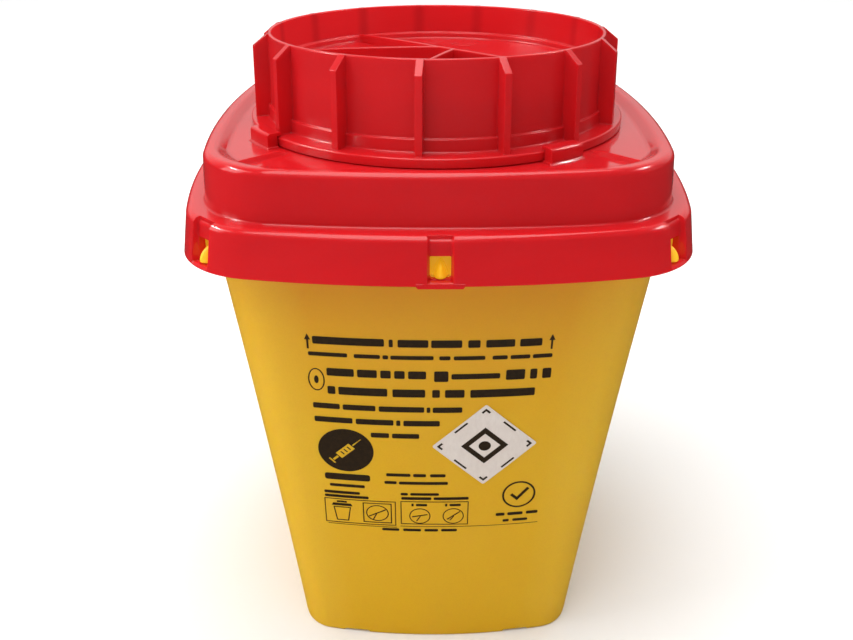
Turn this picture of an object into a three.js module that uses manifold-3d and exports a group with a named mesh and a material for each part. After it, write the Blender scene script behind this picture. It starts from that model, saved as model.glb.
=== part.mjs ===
// Sharps container: a tapered square bucket, a two-tier snap-fit lid with a
// round turret, a finned selector cap that turns on the turret, and a thin
// diamond label on the front face.
// Millimetres, +Z up. Origin: centre of the base, on the resting plane.
// The front of the container faces -Y. Azimuths are degrees from the front,
// positive towards +X, which is the right as seen from the front.
import * as THREE from 'three';
import { mergeVertices } from 'three/addons/utils/BufferGeometryUtils.js';
import { ConvexGeometry } from 'three/addons/geometries/ConvexGeometry.js';
import Module from 'manifold-3d';

const { clamp, degToRad } = THREE.MathUtils;

// ---------------------------------------------------------------- dimensions
const SIDE_STEPS = 3;          // outline points along each half side
const CORNER_STEPS = 6;        // outline points along each corner arc

// bucket
const BASE_HALF = 56.7;        // half width across the base, at the side centre
const MOUTH_HALF = 76.1;       // half width of the tapered wall at the skirt's lower edge
const TAPER_TOP_Z = 166.6;     // where the tapered wall meets the shelf of the rim band
const WALL = 1.9;
const HOLLOW_SAG = 0.6;        // the side walls draw in by this much at half height
const FOOT_H = 1.4;            // height of the foot ring under the floor
const FOOT_W = 6.0;            // width of the foot ring
const FLOOR_Z = 3.6;           // inside floor level
const NOTCH_X = 31.4;          // centre of each foot notch, from the side centre
const NOTCH_W = 9.8;
const NOTCH_H = 1.25;
const NOTCH_IN = 12;           // how far the notch cutter reaches inside the base edge
const NOTCH_OUT = 2;           // and beyond it
const BAND_HALF = 80.6;        // half width of the rim band
const BAND_TOP_Z = 179.6;

// snap teeth on the rim band
const TOOTH_BASE_Z = 169.3;    // flat underside
const TOOTH_TOP_Z = 174.0;     // point
const TOOTH_LEVELS = [0, 0.3, 0.6, 0.85];  // heights of the sections, as parts of the tooth
const TOOTH_ARC_STEPS = 6;
const TOOTH_NARROWING = 0.7;   // exponent of the width's fall towards the point
const TOOTH_SINK = 0.3;        // the rounded front starts this far inside the band
const TOOTH_ROOT = 0.9;        // depth of the tooth's back inside the band's face

// lid
const SKIRT_Z = 167.2;         // lower edge of the skirt
const SKIRT_HALF = 86.4;       // half width of the skirt at its lower edge
const LEDGE_Z = 182.0;         // top of the lower tier
const TIER_HALF = 77.7;        // half width of the upper tier at its foot
const TIER_Z = 198.3;          // top of the raised border of the upper tier
const DECK_Z = 196.0;          // deck inside the border
const LID_T = 2.0;             // lid wall
const LEDGE_UNDER_Z = LEDGE_Z - LID_T;
const TURRET_R = 56.5;
const TURRET_Z = 212.2;        // top of the turret
const LID_OPENING_R = [9.5, 51.5];
const LID_OPENING_AZIMUTH = [-83, 51];
const OPENING_STEPS = 16;      // arc steps of the drop openings in lid and cap
const DECK_SINK = 0.8;         // how far parts standing on the deck reach into it

// snap channels in the skirt, with a boss behind and a window through each
const CHANNEL_D = 2.5;         // depth at the sill
const CHANNEL_DROP = 1.2;      // how far the channel's own shoulder lies below the ledge
const SILL_Z = 168.4;          // sill at the foot of each channel
const SILL_LIP = 0.9;          // fall of the sill towards the outside
const CUT_OUT = 4;             // how far the cutters reach outside the skirt
const CUT_UP = 2;              // and above the ledge
const BOSS_EXTRA_W = 3;        // how much wider the boss is than its channel
const WINDOW_Z = [168.7, 175.9];
const TAB_W = 13.6;            // tab under the skirt at each side centre
const TAB_H = 0.55;

// widths and depths that differ between the side centres and the corners
const SIDE_SNAP = {
  toothW: 4.3, toothProud: 4.0, channelW: 6.9, channelHeadD: 0.95, windowW: 6.2, hasTab: true,
};
const CORNER_SNAP = {
  toothW: 5.4, toothProud: 5.4, channelW: 7.9, channelHeadD: 1.9, windowW: 7.3, hasTab: false,
};
const SNAPS = Array.from({ length: 8 }, (_, i) => (
  { azimuth: i * 45, ...(i % 2 ? CORNER_SNAP : SIDE_SNAP) }
));

// retaining lugs on the deck
const LUG_AZIMUTH = 34.0;      // first lug; three more at 90 degree steps
const LUG_ARC = 10.6;
const LUG_TOP_Z = 200.9;
const LUG_R = 70.0;            // outside radius
const LUG_STEPS = 4;
const LUG_SIDE_GAP = 0.5;      // from the flange's edge to the lug's upright
const LUG_OVERLAP = 1.2;       // how far the hook runs into the upright, past the flange
const LUG_GAP = 0.4;           // from the flange's top to the hook
const LUG_FIN_GAP = 0.45;      // from the fins to the hook

// diagonal ribs on the deck
const RIB_Z = 197.4;           // ridge
const RIB_R = 87.6;            // where they run into the border
const RIB_FOOT_HALF_W = 1.6;
const RIB_RIDGE_HALF_W = 0.2;

// selector cap
const RIM_Z = 227.0;           // top of the cap
const RIM_R = 58.35;           // outside radius of the cap wall at the top
const STEP_Z = 203.5;          // top of the thicker band round the foot of the wall
const BAND_R = 59.75;          // outside radius of that band
const FLANGE_R = 65.8;
const FLANGE_Z0 = 197.3;
const FLANGE_Z1 = 199.3;
const LIP_Z = 196.25;          // foot of the lip under the flange's outer edge
const CAP_FLOOR_Z = 214.2;     // top of the cap's floor
const CAP_FLOOR_T = 1.6;
const CAP_UNDER_Z = CAP_FLOOR_Z - CAP_FLOOR_T;
const CAP_SEGMENTS = 60;
const CAP_OPENING_R = [8.6, 52.4];
const CAP_OPENING_AZIMUTH = [-84.0, 50.5];

// grip fins
const FIN_COUNT = 15;
const FIN_AZIMUTH = -5.7;      // first fin
const FIN_R_TOP = 63.6;        // radius at the upper corner
const FIN_R_FOOT = 64.25;      // radius at the foot
const FIN_CORNER_Z = 223.1;    // upper outer corner
const FIN_T = 2.3;
const FIN_FOOT_Z = FLANGE_Z1 - 0.4;
const FIN_TOP_Z = RIM_Z - 0.03;

// upstanding walls (webs) on the cap's floor
const WEB_Z = 220.5;           // their top where they meet
const WEB_SLOPE = 0.045;       // fall of the top per unit of radius
const WEB_CURVE = 0.0003;      // and per unit of radius squared
const WEB_X = 0.8;             // their meeting point, right of the axis
const WEB_R = 56.3;
const WEB_AZIMUTHS = [-147.1, 59.5, -102];
const WEB_STEPS = 6;
const WEB_T = 1.3;
const WEB_ROOT_Z = CAP_FLOOR_Z - 0.5;
const BEAM_LINE = [[-20.8, -53.0], [5.6, -3.3]];        // plan of the fourth wall
const BEAM_TOP_R = 28;         // its flat top is as high as the others at this radius
const BEAM_FOOT_LINE = [[-22.5, -56.3], [7, -0.7]];     // plan of the strip it stands on
const BEAM_FOOT_W = 4.2;

// stops that limit the cap's turn
const CAP_TAB_AZIMUTH = 100;   // stop tab under the flange, cap in the open position
const CAP_TURN = 168;          // from open to the final closed position
const STOP_ARC = 4;
const STOP_STEPS = 2;
const STOP_OFFSET = 4.2;       // from the tab's centre to a deck stop's when they are closest
const DECK_STOP_AZIMUTHS = [
  CAP_TAB_AZIMUTH - STOP_OFFSET,
  CAP_TAB_AZIMUTH + CAP_TURN + STOP_OFFSET,
];

// diamond label
const LABEL_X = 15.9;          // centre, right of the centre line
const LABEL_Z = 98.6;          // centre height
const LABEL_HALF_W = 18.0;
const LABEL_HALF_H = 17.8;
const LABEL_T = 0.35;
const LABEL_GAP = 0.12;        // clearance between label and wall
const LABEL_CELLS = 8;         // grid cells along each edge

// ---------------------------------------------------------------- solid tools
const wasm = await Module();
wasm.setup();

function toSolid(geometry) {
  const bare = geometry.clone();
  bare.deleteAttribute('normal');
  bare.deleteAttribute('uv');
  const merged = mergeVertices(bare, 1e-4);
  return new wasm.Manifold(new wasm.Mesh({
    numProp: 3,
    vertProperties: new Float32Array(merged.attributes.position.array),
    triVerts: new Uint32Array(merged.index.array),
  }));
}

function toGeometry(solid) {
  const mesh = solid.getMesh();
  const geometry = new THREE.BufferGeometry();
  const positions = new Float32Array(mesh.vertProperties);
  geometry.setAttribute('position', new THREE.BufferAttribute(positions, 3));
  geometry.setIndex(new THREE.BufferAttribute(new Uint32Array(mesh.triVerts), 1));
  geometry.computeVertexNormals();
  return geometry;
}

function indexedGeometry(positions, indices) {
  const geometry = new THREE.BufferGeometry();
  geometry.setAttribute('position', new THREE.Float32BufferAttribute(positions, 3));
  geometry.setIndex(indices);
  return geometry;
}

const add = (solid, geometry) => solid.add(toSolid(geometry));
const cut = (solid, geometry) => solid.subtract(toSolid(geometry));

// ---------------------------------------------------------------- outlines
// radius of an arc through the side centre that falls back by bow at x = half
const bowRadius = (half, bow) => (half * half + bow * bow) / (2 * bow);

// A bowed square: four shallow side arcs joined by tangent corner arcs.
// half = half width at the side centre, bow = how much the side arc falls
// back at the corner, round = corner radius.
function outline(half, bow, round) {
  const radius = bowRadius(half, bow);
  const sideCentre = half - radius;        // the side arc's centre, on the side's own axis
  // the corner arc's centre (corner, corner) lies radius - round from the side arc's centre
  const offset = sideCentre * sideCentre - (radius - round) ** 2;
  const corner = (sideCentre + Math.sqrt(sideCentre * sideCentre - 2 * offset)) / 2;
  const end = Math.atan2(corner, corner - sideCentre);
  const quarter = [];
  for (let i = 0; i < SIDE_STEPS; i++) {
    const angle = (end * i) / SIDE_STEPS;
    quarter.push([sideCentre + radius * Math.cos(angle), radius * Math.sin(angle)]);
  }
  for (let i = 0; i < CORNER_STEPS; i++) {
    const angle = end + ((Math.PI / 2 - 2 * end) * i) / CORNER_STEPS;
    quarter.push([corner + round * Math.cos(angle), corner + round * Math.sin(angle)]);
  }
  for (let i = 0; i < SIDE_STEPS; i++) {
    const angle = end * (1 - i / SIDE_STEPS);
    quarter.push([radius * Math.sin(angle), sideCentre + radius * Math.cos(angle)]);
  }
  const turns = [[1, 0], [0, 1], [-1, 0], [0, -1]];     // cosine and sine of each quarter turn
  return turns.flatMap(([cos, sin]) => (
    quarter.map(([x, y]) => new THREE.Vector2(cos * x - sin * y, sin * x + cos * y))
  ));
}

// half width of the bucket's tapered wall at height z
function wallHalf(z) {
  const t = z / SKIRT_Z;
  return BASE_HALF + (MOUTH_HALF - BASE_HALF) * t - HOLLOW_SAG * 4 * t * (1 - t);
}

// the bucket's bow and corner radius grow with height
const wallRise = (z) => clamp(z / SKIRT_Z, 0, 1);
const wallBow = (half, z) => half * (0.125 + 0.005 * wallRise(z));
const bodyShape = (half, z) => (
  outline(half, wallBow(half, z), half * (0.237 + 0.063 * wallRise(z)))
);
const bandShape = (half) => outline(half, half * 0.14, half * 0.32);

// the lid's two tiers: blend = 0 for the upper tier, 1 for the skirt
const lidShape = (half, blend) => (
  outline(half, half * (0.107 + 0.041 * blend), half * (0.368 - 0.038 * blend))
);

// distance of an outline from the axis along an azimuth
function reach(points, azimuth) {
  const ray = new THREE.Vector2(...polar(1, azimuth));
  let farthest = 0;
  points.forEach((start, i) => {
    const edge = points[(i + 1) % points.length].clone().sub(start);
    const cross = ray.x * edge.y - ray.y * edge.x;
    if (Math.abs(cross) < 1e-12) return;
    const distance = (start.x * edge.y - start.y * edge.x) / cross;
    const along = (start.x * ray.y - start.y * ray.x) / cross;
    if (distance > 0 && along >= -1e-9 && along <= 1 + 1e-9) {
      farthest = Math.max(farthest, distance);
    }
  });
  return farthest;
}

// ---------------------------------------------------------------- shapes
// Ranges are [from, to] pairs.
function polar(radius, azimuth) {
  const angle = degToRad(azimuth);
  return [radius * Math.sin(angle), -radius * Math.cos(angle)];
}

const around = (azimuth, arc) => [azimuth - arc / 2, azimuth + arc / 2];

// Skins a stack of { points, z } rings that have equal point counts, closed
// by a fan to the axis at each end.
function loft(rings) {
  const count = rings[0].points.length;
  const positions = [];
  const indices = [];
  for (const { points, z } of rings) {
    for (const { x, y } of points) positions.push(x, y, z);
  }
  for (let r = 0; r + 1 < rings.length; r++) {
    for (let i = 0; i < count; i++) {
      const a = r * count + i;
      const b = r * count + ((i + 1) % count);
      indices.push(a, b, b + count, a, b + count, a + count);
    }
  }
  const firstHub = rings.length * count;
  const lastHub = firstHub + 1;
  const lastRing = firstHub - count;
  positions.push(0, 0, rings[0].z);
  positions.push(0, 0, rings[rings.length - 1].z);
  for (let i = 0; i < count; i++) indices.push(firstHub, (i + 1) % count, i);
  for (let i = 0; i < count; i++) {
    indices.push(lastHub, lastRing + i, lastRing + ((i + 1) % count));
  }
  return indexedGeometry(positions, indices);
}

// a flat-sided prism from a list of [x, y] corners
function prism(corners, [z0, z1]) {
  const shape = new THREE.Shape(corners.map(([x, y]) => new THREE.Vector2(x, y)));
  const geometry = new THREE.ExtrudeGeometry(shape, { depth: z1 - z0, bevelEnabled: false });
  return geometry.translate(0, 0, z0);
}

// an annular sector
function sector([inner, outer], [from, to], zRange, steps) {
  const corners = [];
  for (let i = 0; i <= steps; i++) corners.push(polar(outer, from + ((to - from) * i) / steps));
  for (let i = 0; i <= steps; i++) corners.push(polar(inner, to + ((from - to) * i) / steps));
  corners.push(corners[0]);
  return prism(corners, zRange);
}

// a box facing outward at an azimuth; shift moves it sideways
function radialBox(width, [r0, r1], [z0, z1], azimuth, shift = 0) {
  const box = new THREE.BoxGeometry(width, r1 - r0, z1 - z0);
  box.translate(shift, -(r0 + r1) / 2, (z0 + z1) / 2);
  return box.rotateZ(degToRad(azimuth));
}

// a prism from [radius, z] corners, its width across the radius, at an azimuth
function radialPrism(corners, width, azimuth) {
  const geometry = prism(corners, [-width / 2, width / 2]);
  geometry.rotateX(Math.PI / 2);           // radius along +X, height along +Z
  return geometry.rotateZ(degToRad(azimuth - 90));
}

// an upright strip along a plan line from one [x, y] point to another
function strip([from, to], thickness, zRange) {
  const along = new THREE.Vector2(to[0] - from[0], to[1] - from[1]).normalize();
  const x = (along.y * thickness) / 2;
  const y = (along.x * thickness) / 2;
  return prism([
    [to[0] + x, to[1] - y],
    [from[0] + x, from[1] - y],
    [from[0] - x, from[1] + y],
    [to[0] - x, to[1] + y],
  ], zRange);
}

// ---------------------------------------------------------------- body
function bodyShell() {
  const ring = (half, z) => ({ points: bodyShape(half, z), z });
  const band = (inset, z) => ({ points: bandShape(BAND_HALF - inset), z });
  // from under the floor, down and out, up the outside, over and down the inside
  return loft([
    ring(BASE_HALF - FOOT_W - 1.0, FOOT_H),
    ring(BASE_HALF - FOOT_W, 0),
    ring(BASE_HALF - 0.9, 0),
    ring(BASE_HALF - 0.15, 0.7),
    ...[2, 22, 50, 85, 125, TAPER_TOP_Z].map((z) => ring(wallHalf(z), z)),
    band(0.7, 167.5),
    band(0, 168.5),
    band(0.2, BAND_TOP_Z - 0.6),
    band(0.6, BAND_TOP_Z),
    band(1.3, BAND_TOP_Z),
    band(1.7, BAND_TOP_Z - 0.5),
    band(1.8, 170.4),
    band(3.0, 169.5),
    ring(wallHalf(TAPER_TOP_Z) - WALL + 0.1, 168.2),
    ...[125, 85, 50, 22, 6.5].map((z) => ring(wallHalf(z) - WALL, z)),
    ring(wallHalf(4) - WALL - 3.0, FLOOR_Z),
  ]);
}

// a rounded barb with a flat underside, on the rim band
function snapTooth({ azimuth, toothW, toothProud }) {
  const face = reach(bandShape(BAND_HALF), azimuth);
  const front = face - TOOTH_SINK;
  const back = face - TOOTH_ROOT;
  const points = [];
  for (const level of TOOTH_LEVELS) {
    const z = TOOTH_BASE_Z + (TOOTH_TOP_Z - TOOTH_BASE_Z) * level;
    const halfW = (toothW / 2) * (1 - level) ** TOOTH_NARROWING;
    const depth = toothProud * Math.sqrt(1 - level * level) + TOOTH_SINK;
    for (let k = 0; k <= TOOTH_ARC_STEPS; k++) {
      const angle = Math.PI * (k / TOOTH_ARC_STEPS);
      const y = -(front + depth * Math.sin(angle));
      points.push(new THREE.Vector3(halfW * Math.cos(angle), y, z));
    }
    points.push(new THREE.Vector3(halfW, -back, z), new THREE.Vector3(-halfW, -back, z));
  }
  points.push(new THREE.Vector3(0, -front, TOOTH_TOP_Z));
  points.push(new THREE.Vector3(0, -back, TOOTH_TOP_Z));
  return new ConvexGeometry(points).rotateZ(degToRad(azimuth));
}

function buildBody() {
  let solid = toSolid(bodyShell());
  for (const snap of SNAPS) solid = add(solid, snapTooth(snap));
  // two notches in the foot ring on each side
  const notchSpan = [BASE_HALF - NOTCH_IN, BASE_HALF + NOTCH_OUT];
  for (let side = 0; side < 4; side++) {
    for (const x of [-NOTCH_X, NOTCH_X]) {
      solid = cut(solid, radialBox(NOTCH_W, notchSpan, [-1, NOTCH_H], side * 90, x));
    }
  }
  return toGeometry(solid);
}

// ---------------------------------------------------------------- lid
function lidShell() {
  const skirt = (inset, z) => ({ points: lidShape(SKIRT_HALF - inset, 1), z });
  const tier = (inset, z, blend = 0) => ({ points: lidShape(TIER_HALF - inset, blend), z });
  // circles take their points' polar angles from a tier outline
  const guide = lidShape(70, 0);
  const round = (radius, z) => ({ points: guide.map((p) => p.clone().setLength(radius)), z });
  // from the inside centre, down and out, up and over to the top centre
  return loft([
    round(TURRET_R - LID_T, TURRET_Z - 1.8),
    round(TURRET_R - LID_T + 0.2, DECK_Z - LID_T),
    tier(9.0, DECK_Z - LID_T),
    tier(4.8, TIER_Z - LID_T - 0.4),
    tier(2.8, TIER_Z - 5.0),
    tier(2.5, 176.2),
    tier(1.3, 176.2),
    tier(1.1, LEDGE_UNDER_Z),
    skirt(4.8, LEDGE_UNDER_Z),
    skirt(3.8, LEDGE_UNDER_Z - 1.4),
    skirt(2.0, SKIRT_Z),
    skirt(0.3, SKIRT_Z),
    skirt(0, SKIRT_Z + 0.4),
    skirt(1.8, LEDGE_Z - 1.6),
    skirt(2.5, LEDGE_Z - 0.6),
    skirt(4.0, LEDGE_Z - 0.05),
    tier(-0.7, LEDGE_Z),
    tier(0, LEDGE_Z + 0.7),
    tier(0.7, TIER_Z - 3.3),
    tier(1.6, TIER_Z - 1.1),
    tier(3.5, TIER_Z),
    tier(5.2, TIER_Z - 0.3, -0.3),
    tier(8.0, DECK_Z, -0.3),
    round(TURRET_R + 0.9, DECK_Z),
    round(TURRET_R, DECK_Z + 0.9),
    round(TURRET_R - 0.1, TURRET_Z - 0.8),
    round(TURRET_R - 0.9, TURRET_Z),
  ]);
}

// backs, cuts and pierces the skirt at one snap, and adds its tab
function withSnapChannel(lid, { azimuth, channelW, channelHeadD, windowW, hasTab }) {
  const skirtReach = (inset) => reach(lidShape(SKIRT_HALF - inset, 1), azimuth);
  const outer = skirtReach(0.2);
  const inner = skirtReach(2.0);
  const bandFace = reach(bandShape(BAND_HALF), azimuth);
  // recessed face of the channel at its sill and at its head
  const foot = outer - CHANNEL_D;
  const head = skirtReach(1.8) - channelHeadD;
  const shoulder = LEDGE_Z - CHANNEL_DROP;
  const back = Math.max(bandFace + 0.8, head - 1.5);
  const clear = outer + CUT_OUT;
  const boss = [
    [back, SKIRT_Z + 0.4],
    [inner + 0.9, SKIRT_Z + 0.4],
    [inner - 0.8, LEDGE_UNDER_Z + 0.6],
    [back, LEDGE_UNDER_Z + 0.6],
  ];
  const channel = [
    [foot, SILL_Z],
    [outer - 0.6, SILL_Z],
    [outer + 0.4, SILL_Z - SILL_LIP],
    [clear, SILL_Z - SILL_LIP],
    [clear, LEDGE_Z + CUT_UP],
    [head - 0.95, LEDGE_Z + CUT_UP],
    [head - 0.95, shoulder],
    [head - 0.28, shoulder - 0.43],
    [head, shoulder - 1.45],
  ];
  let solid = add(lid, radialPrism(boss, channelW + BOSS_EXTRA_W, azimuth));
  solid = cut(solid, radialPrism(channel, channelW, azimuth));
  solid = cut(solid, radialBox(windowW, [bandFace + 0.5, clear], WINDOW_Z, azimuth));
  if (!hasTab) return solid;
  const tabZ = [SKIRT_Z - TAB_H, SKIRT_Z + 0.8];
  return add(solid, radialBox(TAB_W, [inner + 0.35, outer + 0.1], tabZ, azimuth));
}

// a lug that hooks over the cap's flange: an upright, then its hook
function withLug(lid, azimuth) {
  const arc = around(azimuth, LUG_ARC);
  const uprightR = [FLANGE_R + LUG_SIDE_GAP, LUG_R];
  const hookR = [FIN_R_FOOT + LUG_FIN_GAP, FLANGE_R + LUG_OVERLAP];
  const solid = add(lid, sector(uprightR, arc, [DECK_Z - DECK_SINK, LUG_TOP_Z], LUG_STEPS));
  return add(solid, sector(hookR, arc, [FLANGE_Z1 + LUG_GAP, LUG_TOP_Z], LUG_STEPS));
}

// a ridged rib that falls away towards the cap
function deckRib(azimuth) {
  const points = [];
  // [radius, ridge height]
  for (const [radius, ridgeZ] of [[67, DECK_Z + 0.05], [71, RIB_Z], [RIB_R, RIB_Z]]) {
    // [half width, height]
    for (const [halfW, z] of [
      [RIB_FOOT_HALF_W, DECK_Z - DECK_SINK],
      [RIB_FOOT_HALF_W, DECK_Z],
      [RIB_RIDGE_HALF_W, ridgeZ],
    ]) {
      points.push(new THREE.Vector3(-halfW, -radius, z), new THREE.Vector3(halfW, -radius, z));
    }
  }
  return new ConvexGeometry(points).rotateZ(degToRad(azimuth));
}

function buildLid() {
  let solid = toSolid(lidShell());
  for (const snap of SNAPS) solid = withSnapChannel(solid, snap);
  for (let i = 0; i < 4; i++) solid = withLug(solid, LUG_AZIMUTH + 90 * i);
  for (let i = 0; i < 4; i++) solid = add(solid, deckRib(45 + 90 * i));
  // end stops on the deck for the cap's turn, hidden under its flange
  const stopZ = [DECK_Z - DECK_SINK, DECK_Z + 1.0];
  for (const azimuth of DECK_STOP_AZIMUTHS) {
    solid = add(solid, sector([60.2, 64.2], around(azimuth, STOP_ARC), stopZ, STOP_STEPS));
  }
  // drop opening in the turret top
  const openingZ = [TURRET_Z - 4, TURRET_Z + 2];
  solid = cut(solid, sector(LID_OPENING_R, LID_OPENING_AZIMUTH, openingZ, OPENING_STEPS));
  return toGeometry(solid);
}

// ---------------------------------------------------------------- cap
function capShell() {
  // [radius, z], from the axis under the floor, round the outside and back over the floor
  const profile = [
    [0, CAP_UNDER_Z], [56.9, CAP_UNDER_Z], [57.3, CAP_UNDER_Z - 0.5], [57.6, FLANGE_Z0],
    [64.8, FLANGE_Z0], [64.9, LIP_Z], [65.6, LIP_Z], [FLANGE_R, LIP_Z + 0.3],
    [FLANGE_R, FLANGE_Z1 - 0.6], [65.2, FLANGE_Z1],
    [BAND_R + 0.1, FLANGE_Z1 + 0.1], [BAND_R, STEP_Z - 0.5], [BAND_R - 0.6, STEP_Z],
    [58.85, STEP_Z + 0.1], [RIM_R, RIM_Z - 0.4], [RIM_R - 0.4, RIM_Z],
    [RIM_R - 0.9, RIM_Z], [RIM_R - 1.25, RIM_Z - 0.4],
    [56.7, 216.3], [55.6, 216.3], [55.4, CAP_FLOOR_Z], [0, CAP_FLOOR_Z],
  ].map(([radius, z]) => new THREE.Vector2(radius, z));
  // the profile's height becomes +Z
  return new THREE.LatheGeometry(profile, CAP_SEGMENTS).rotateX(Math.PI / 2);
}

function gripFin(azimuth) {
  return radialPrism([
    [58.0, FIN_FOOT_Z],
    [FIN_R_FOOT, FIN_FOOT_Z],
    [FIN_R_TOP, FIN_CORNER_Z],
    [58.8, FIN_TOP_Z],
    [57.8, FIN_TOP_Z],
    [57.8, RIM_Z - 1.0],
  ], FIN_T, azimuth);
}

const webTop = (radius) => WEB_Z - WEB_SLOPE * radius - WEB_CURVE * radius * radius;

function floorWeb(azimuth) {
  const corners = [[0, WEB_ROOT_Z], [WEB_R, WEB_ROOT_Z]];
  for (let i = 0; i <= WEB_STEPS; i++) {
    const radius = WEB_R * (1 - i / WEB_STEPS);
    corners.push([radius, webTop(radius)]);
  }
  return radialPrism(corners, WEB_T, azimuth).translate(WEB_X, 0, 0);
}

// drop opening in the cap's floor, less the strip that carries the fourth wall
function capOpening() {
  const openingZ = [CAP_UNDER_Z - 2, CAP_FLOOR_Z + 2];
  const footZ = [CAP_UNDER_Z - 3, CAP_FLOOR_Z + 3];
  const opening = sector(CAP_OPENING_R, CAP_OPENING_AZIMUTH, openingZ, OPENING_STEPS);
  return cut(toSolid(opening), strip(BEAM_FOOT_LINE, BEAM_FOOT_W, footZ));
}

function buildCap() {
  let solid = toSolid(capShell());
  for (let i = 0; i < FIN_COUNT; i++) {
    solid = add(solid, gripFin(FIN_AZIMUTH + (360 / FIN_COUNT) * i));
  }
  for (const azimuth of WEB_AZIMUTHS) solid = add(solid, floorWeb(azimuth));
  solid = solid.subtract(capOpening());
  // the fourth wall crosses the opening
  solid = add(solid, strip(BEAM_LINE, WEB_T, [WEB_ROOT_Z, webTop(BEAM_TOP_R)]));
  // stop tab under the flange
  const tabArc = around(CAP_TAB_AZIMUTH, STOP_ARC);
  const tabZ = [DECK_Z + 0.4, FLANGE_Z0 + 0.4];
  solid = add(solid, sector([60.6, 64.0], tabArc, tabZ, STOP_STEPS));
  return toGeometry(solid);
}

// ---------------------------------------------------------------- label
// y of the bucket's bowed, sloping front
function frontY(x, z) {
  const half = wallHalf(z);
  const radius = bowRadius(half, wallBow(half, z));
  return -(half - radius + Math.sqrt(radius * radius - x * x));
}

// A thin square-set-on-its-corner sheet that follows the bucket's front.
function buildLabel() {
  const n = LABEL_CELLS;
  const positions = [];
  const indices = [];
  // the outer face's grid, then the inner face's
  for (const gap of [LABEL_GAP + LABEL_T, LABEL_GAP]) {
    for (let i = 0; i <= n; i++) {
      for (let j = 0; j <= n; j++) {
        const x = LABEL_X + (i / n - j / n) * LABEL_HALF_W;
        const z = LABEL_Z + (i / n + j / n - 1) * LABEL_HALF_H;
        positions.push(x, frontY(x, z) - gap, z);
      }
    }
  }
  const inner = (n + 1) * (n + 1);         // index offset of the inner face
  const at = (i, j) => i * (n + 1) + j;
  for (let i = 0; i < n; i++) {
    for (let j = 0; j < n; j++) {
      const [a, b, c, d] = [at(i, j), at(i + 1, j), at(i + 1, j + 1), at(i, j + 1)];
      indices.push(a, b, c, a, c, d);
      indices.push(a + inner, c + inner, b + inner, a + inner, d + inner, c + inner);
    }
  }
  const edge = [];
  for (let i = 0; i < n; i++) edge.push(at(i, 0));
  for (let j = 0; j < n; j++) edge.push(at(n, j));
  for (let i = n; i > 0; i--) edge.push(at(i, n));
  for (let j = n; j > 0; j--) edge.push(at(0, j));
  edge.forEach((a, k) => {
    const b = edge[(k + 1) % edge.length];
    indices.push(a, a + inner, b + inner, a, b + inner, b);
  });
  const geometry = indexedGeometry(positions, indices);
  geometry.computeVertexNormals();
  return geometry;
}

// ---------------------------------------------------------------- assembly
const plastic = (look) => new THREE.MeshStandardMaterial({ metalness: 0, ...look });
const MATERIALS = {
  yellow: plastic({ color: 0xd9a62a, roughness: 0.45 }),
  lidRed: plastic({ color: 0xc8202a, roughness: 0.25 }),
  capRed: plastic({ color: 0xcc1f2b, roughness: 0.25 }),
  white: plastic({ color: 0xf2f2ee, roughness: 0.5 }),
};

const root = new THREE.Group();

function addPart(name, geometry, material) {
  const mesh = new THREE.Mesh(geometry, material);
  mesh.name = name;
  root.add(mesh);
}

addPart('body_bucket', buildBody(), MATERIALS.yellow);
addPart('snap_lid', buildLid(), MATERIALS.lidRed);
addPart('selector_cap', buildCap(), MATERIALS.capRed);
addPart('diamond_label', buildLabel(), MATERIALS.white);

export default root;
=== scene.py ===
# Sharps container: a tapered yellow bucket, a red snap-on lid and a red turning cap, with a
# printed front and a diamond label, in a small studio.
# It stands on z = 0, centred on the z axis. The printed front faces -Y and +X is its right.
# Sizes are in mm until the meshes are made; materials, lights and camera are in metres.
# An azimuth is in degrees from the front, positive to the right. "Half" is a half width.
import math
from contextlib import contextmanager
from math import cos, pi, radians, sin, sqrt

import bmesh
import bpy
import numpy as np
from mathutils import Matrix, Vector
from mathutils.geometry import tessellate_polygon


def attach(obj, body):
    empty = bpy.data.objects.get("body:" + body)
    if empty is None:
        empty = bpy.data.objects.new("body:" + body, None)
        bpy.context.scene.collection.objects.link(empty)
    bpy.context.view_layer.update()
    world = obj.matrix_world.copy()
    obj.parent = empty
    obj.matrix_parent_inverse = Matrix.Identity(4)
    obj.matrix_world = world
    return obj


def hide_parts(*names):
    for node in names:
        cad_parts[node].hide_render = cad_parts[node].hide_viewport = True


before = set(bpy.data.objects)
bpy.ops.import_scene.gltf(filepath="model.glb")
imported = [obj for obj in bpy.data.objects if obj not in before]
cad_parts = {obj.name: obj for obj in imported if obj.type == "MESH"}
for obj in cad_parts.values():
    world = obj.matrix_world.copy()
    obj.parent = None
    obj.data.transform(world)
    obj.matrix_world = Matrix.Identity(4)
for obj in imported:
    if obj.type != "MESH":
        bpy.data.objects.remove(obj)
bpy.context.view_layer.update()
MM = 0.001

# ---------------------------------------------------------------- bucket sizes
BASE_HALF = 56.7
MOUTH_HALF = 76.1
TAPER_TOP_Z = 166.6
WALL = 1.9
SAG = 0.6                       # how far the taper bows inward at mid height
FOOT_H, FOOT_W = 1.4, 6.0
FLOOR_Z = 3.6
NOTCH_X, NOTCH_W, NOTCH_H = 31.4, 9.8, 1.25     # two notches in each side of the foot
BAND_HALF, BAND_TOP_Z = 80.6, 179.6             # upright band round the mouth
TOOTH_BASE_Z, TOOTH_TOP_Z = 169.3, 174.0
TOOTH_W, TOOTH_PROUD = (4.3, 5.4), (4.0, 5.4)   # (side, corner)

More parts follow.
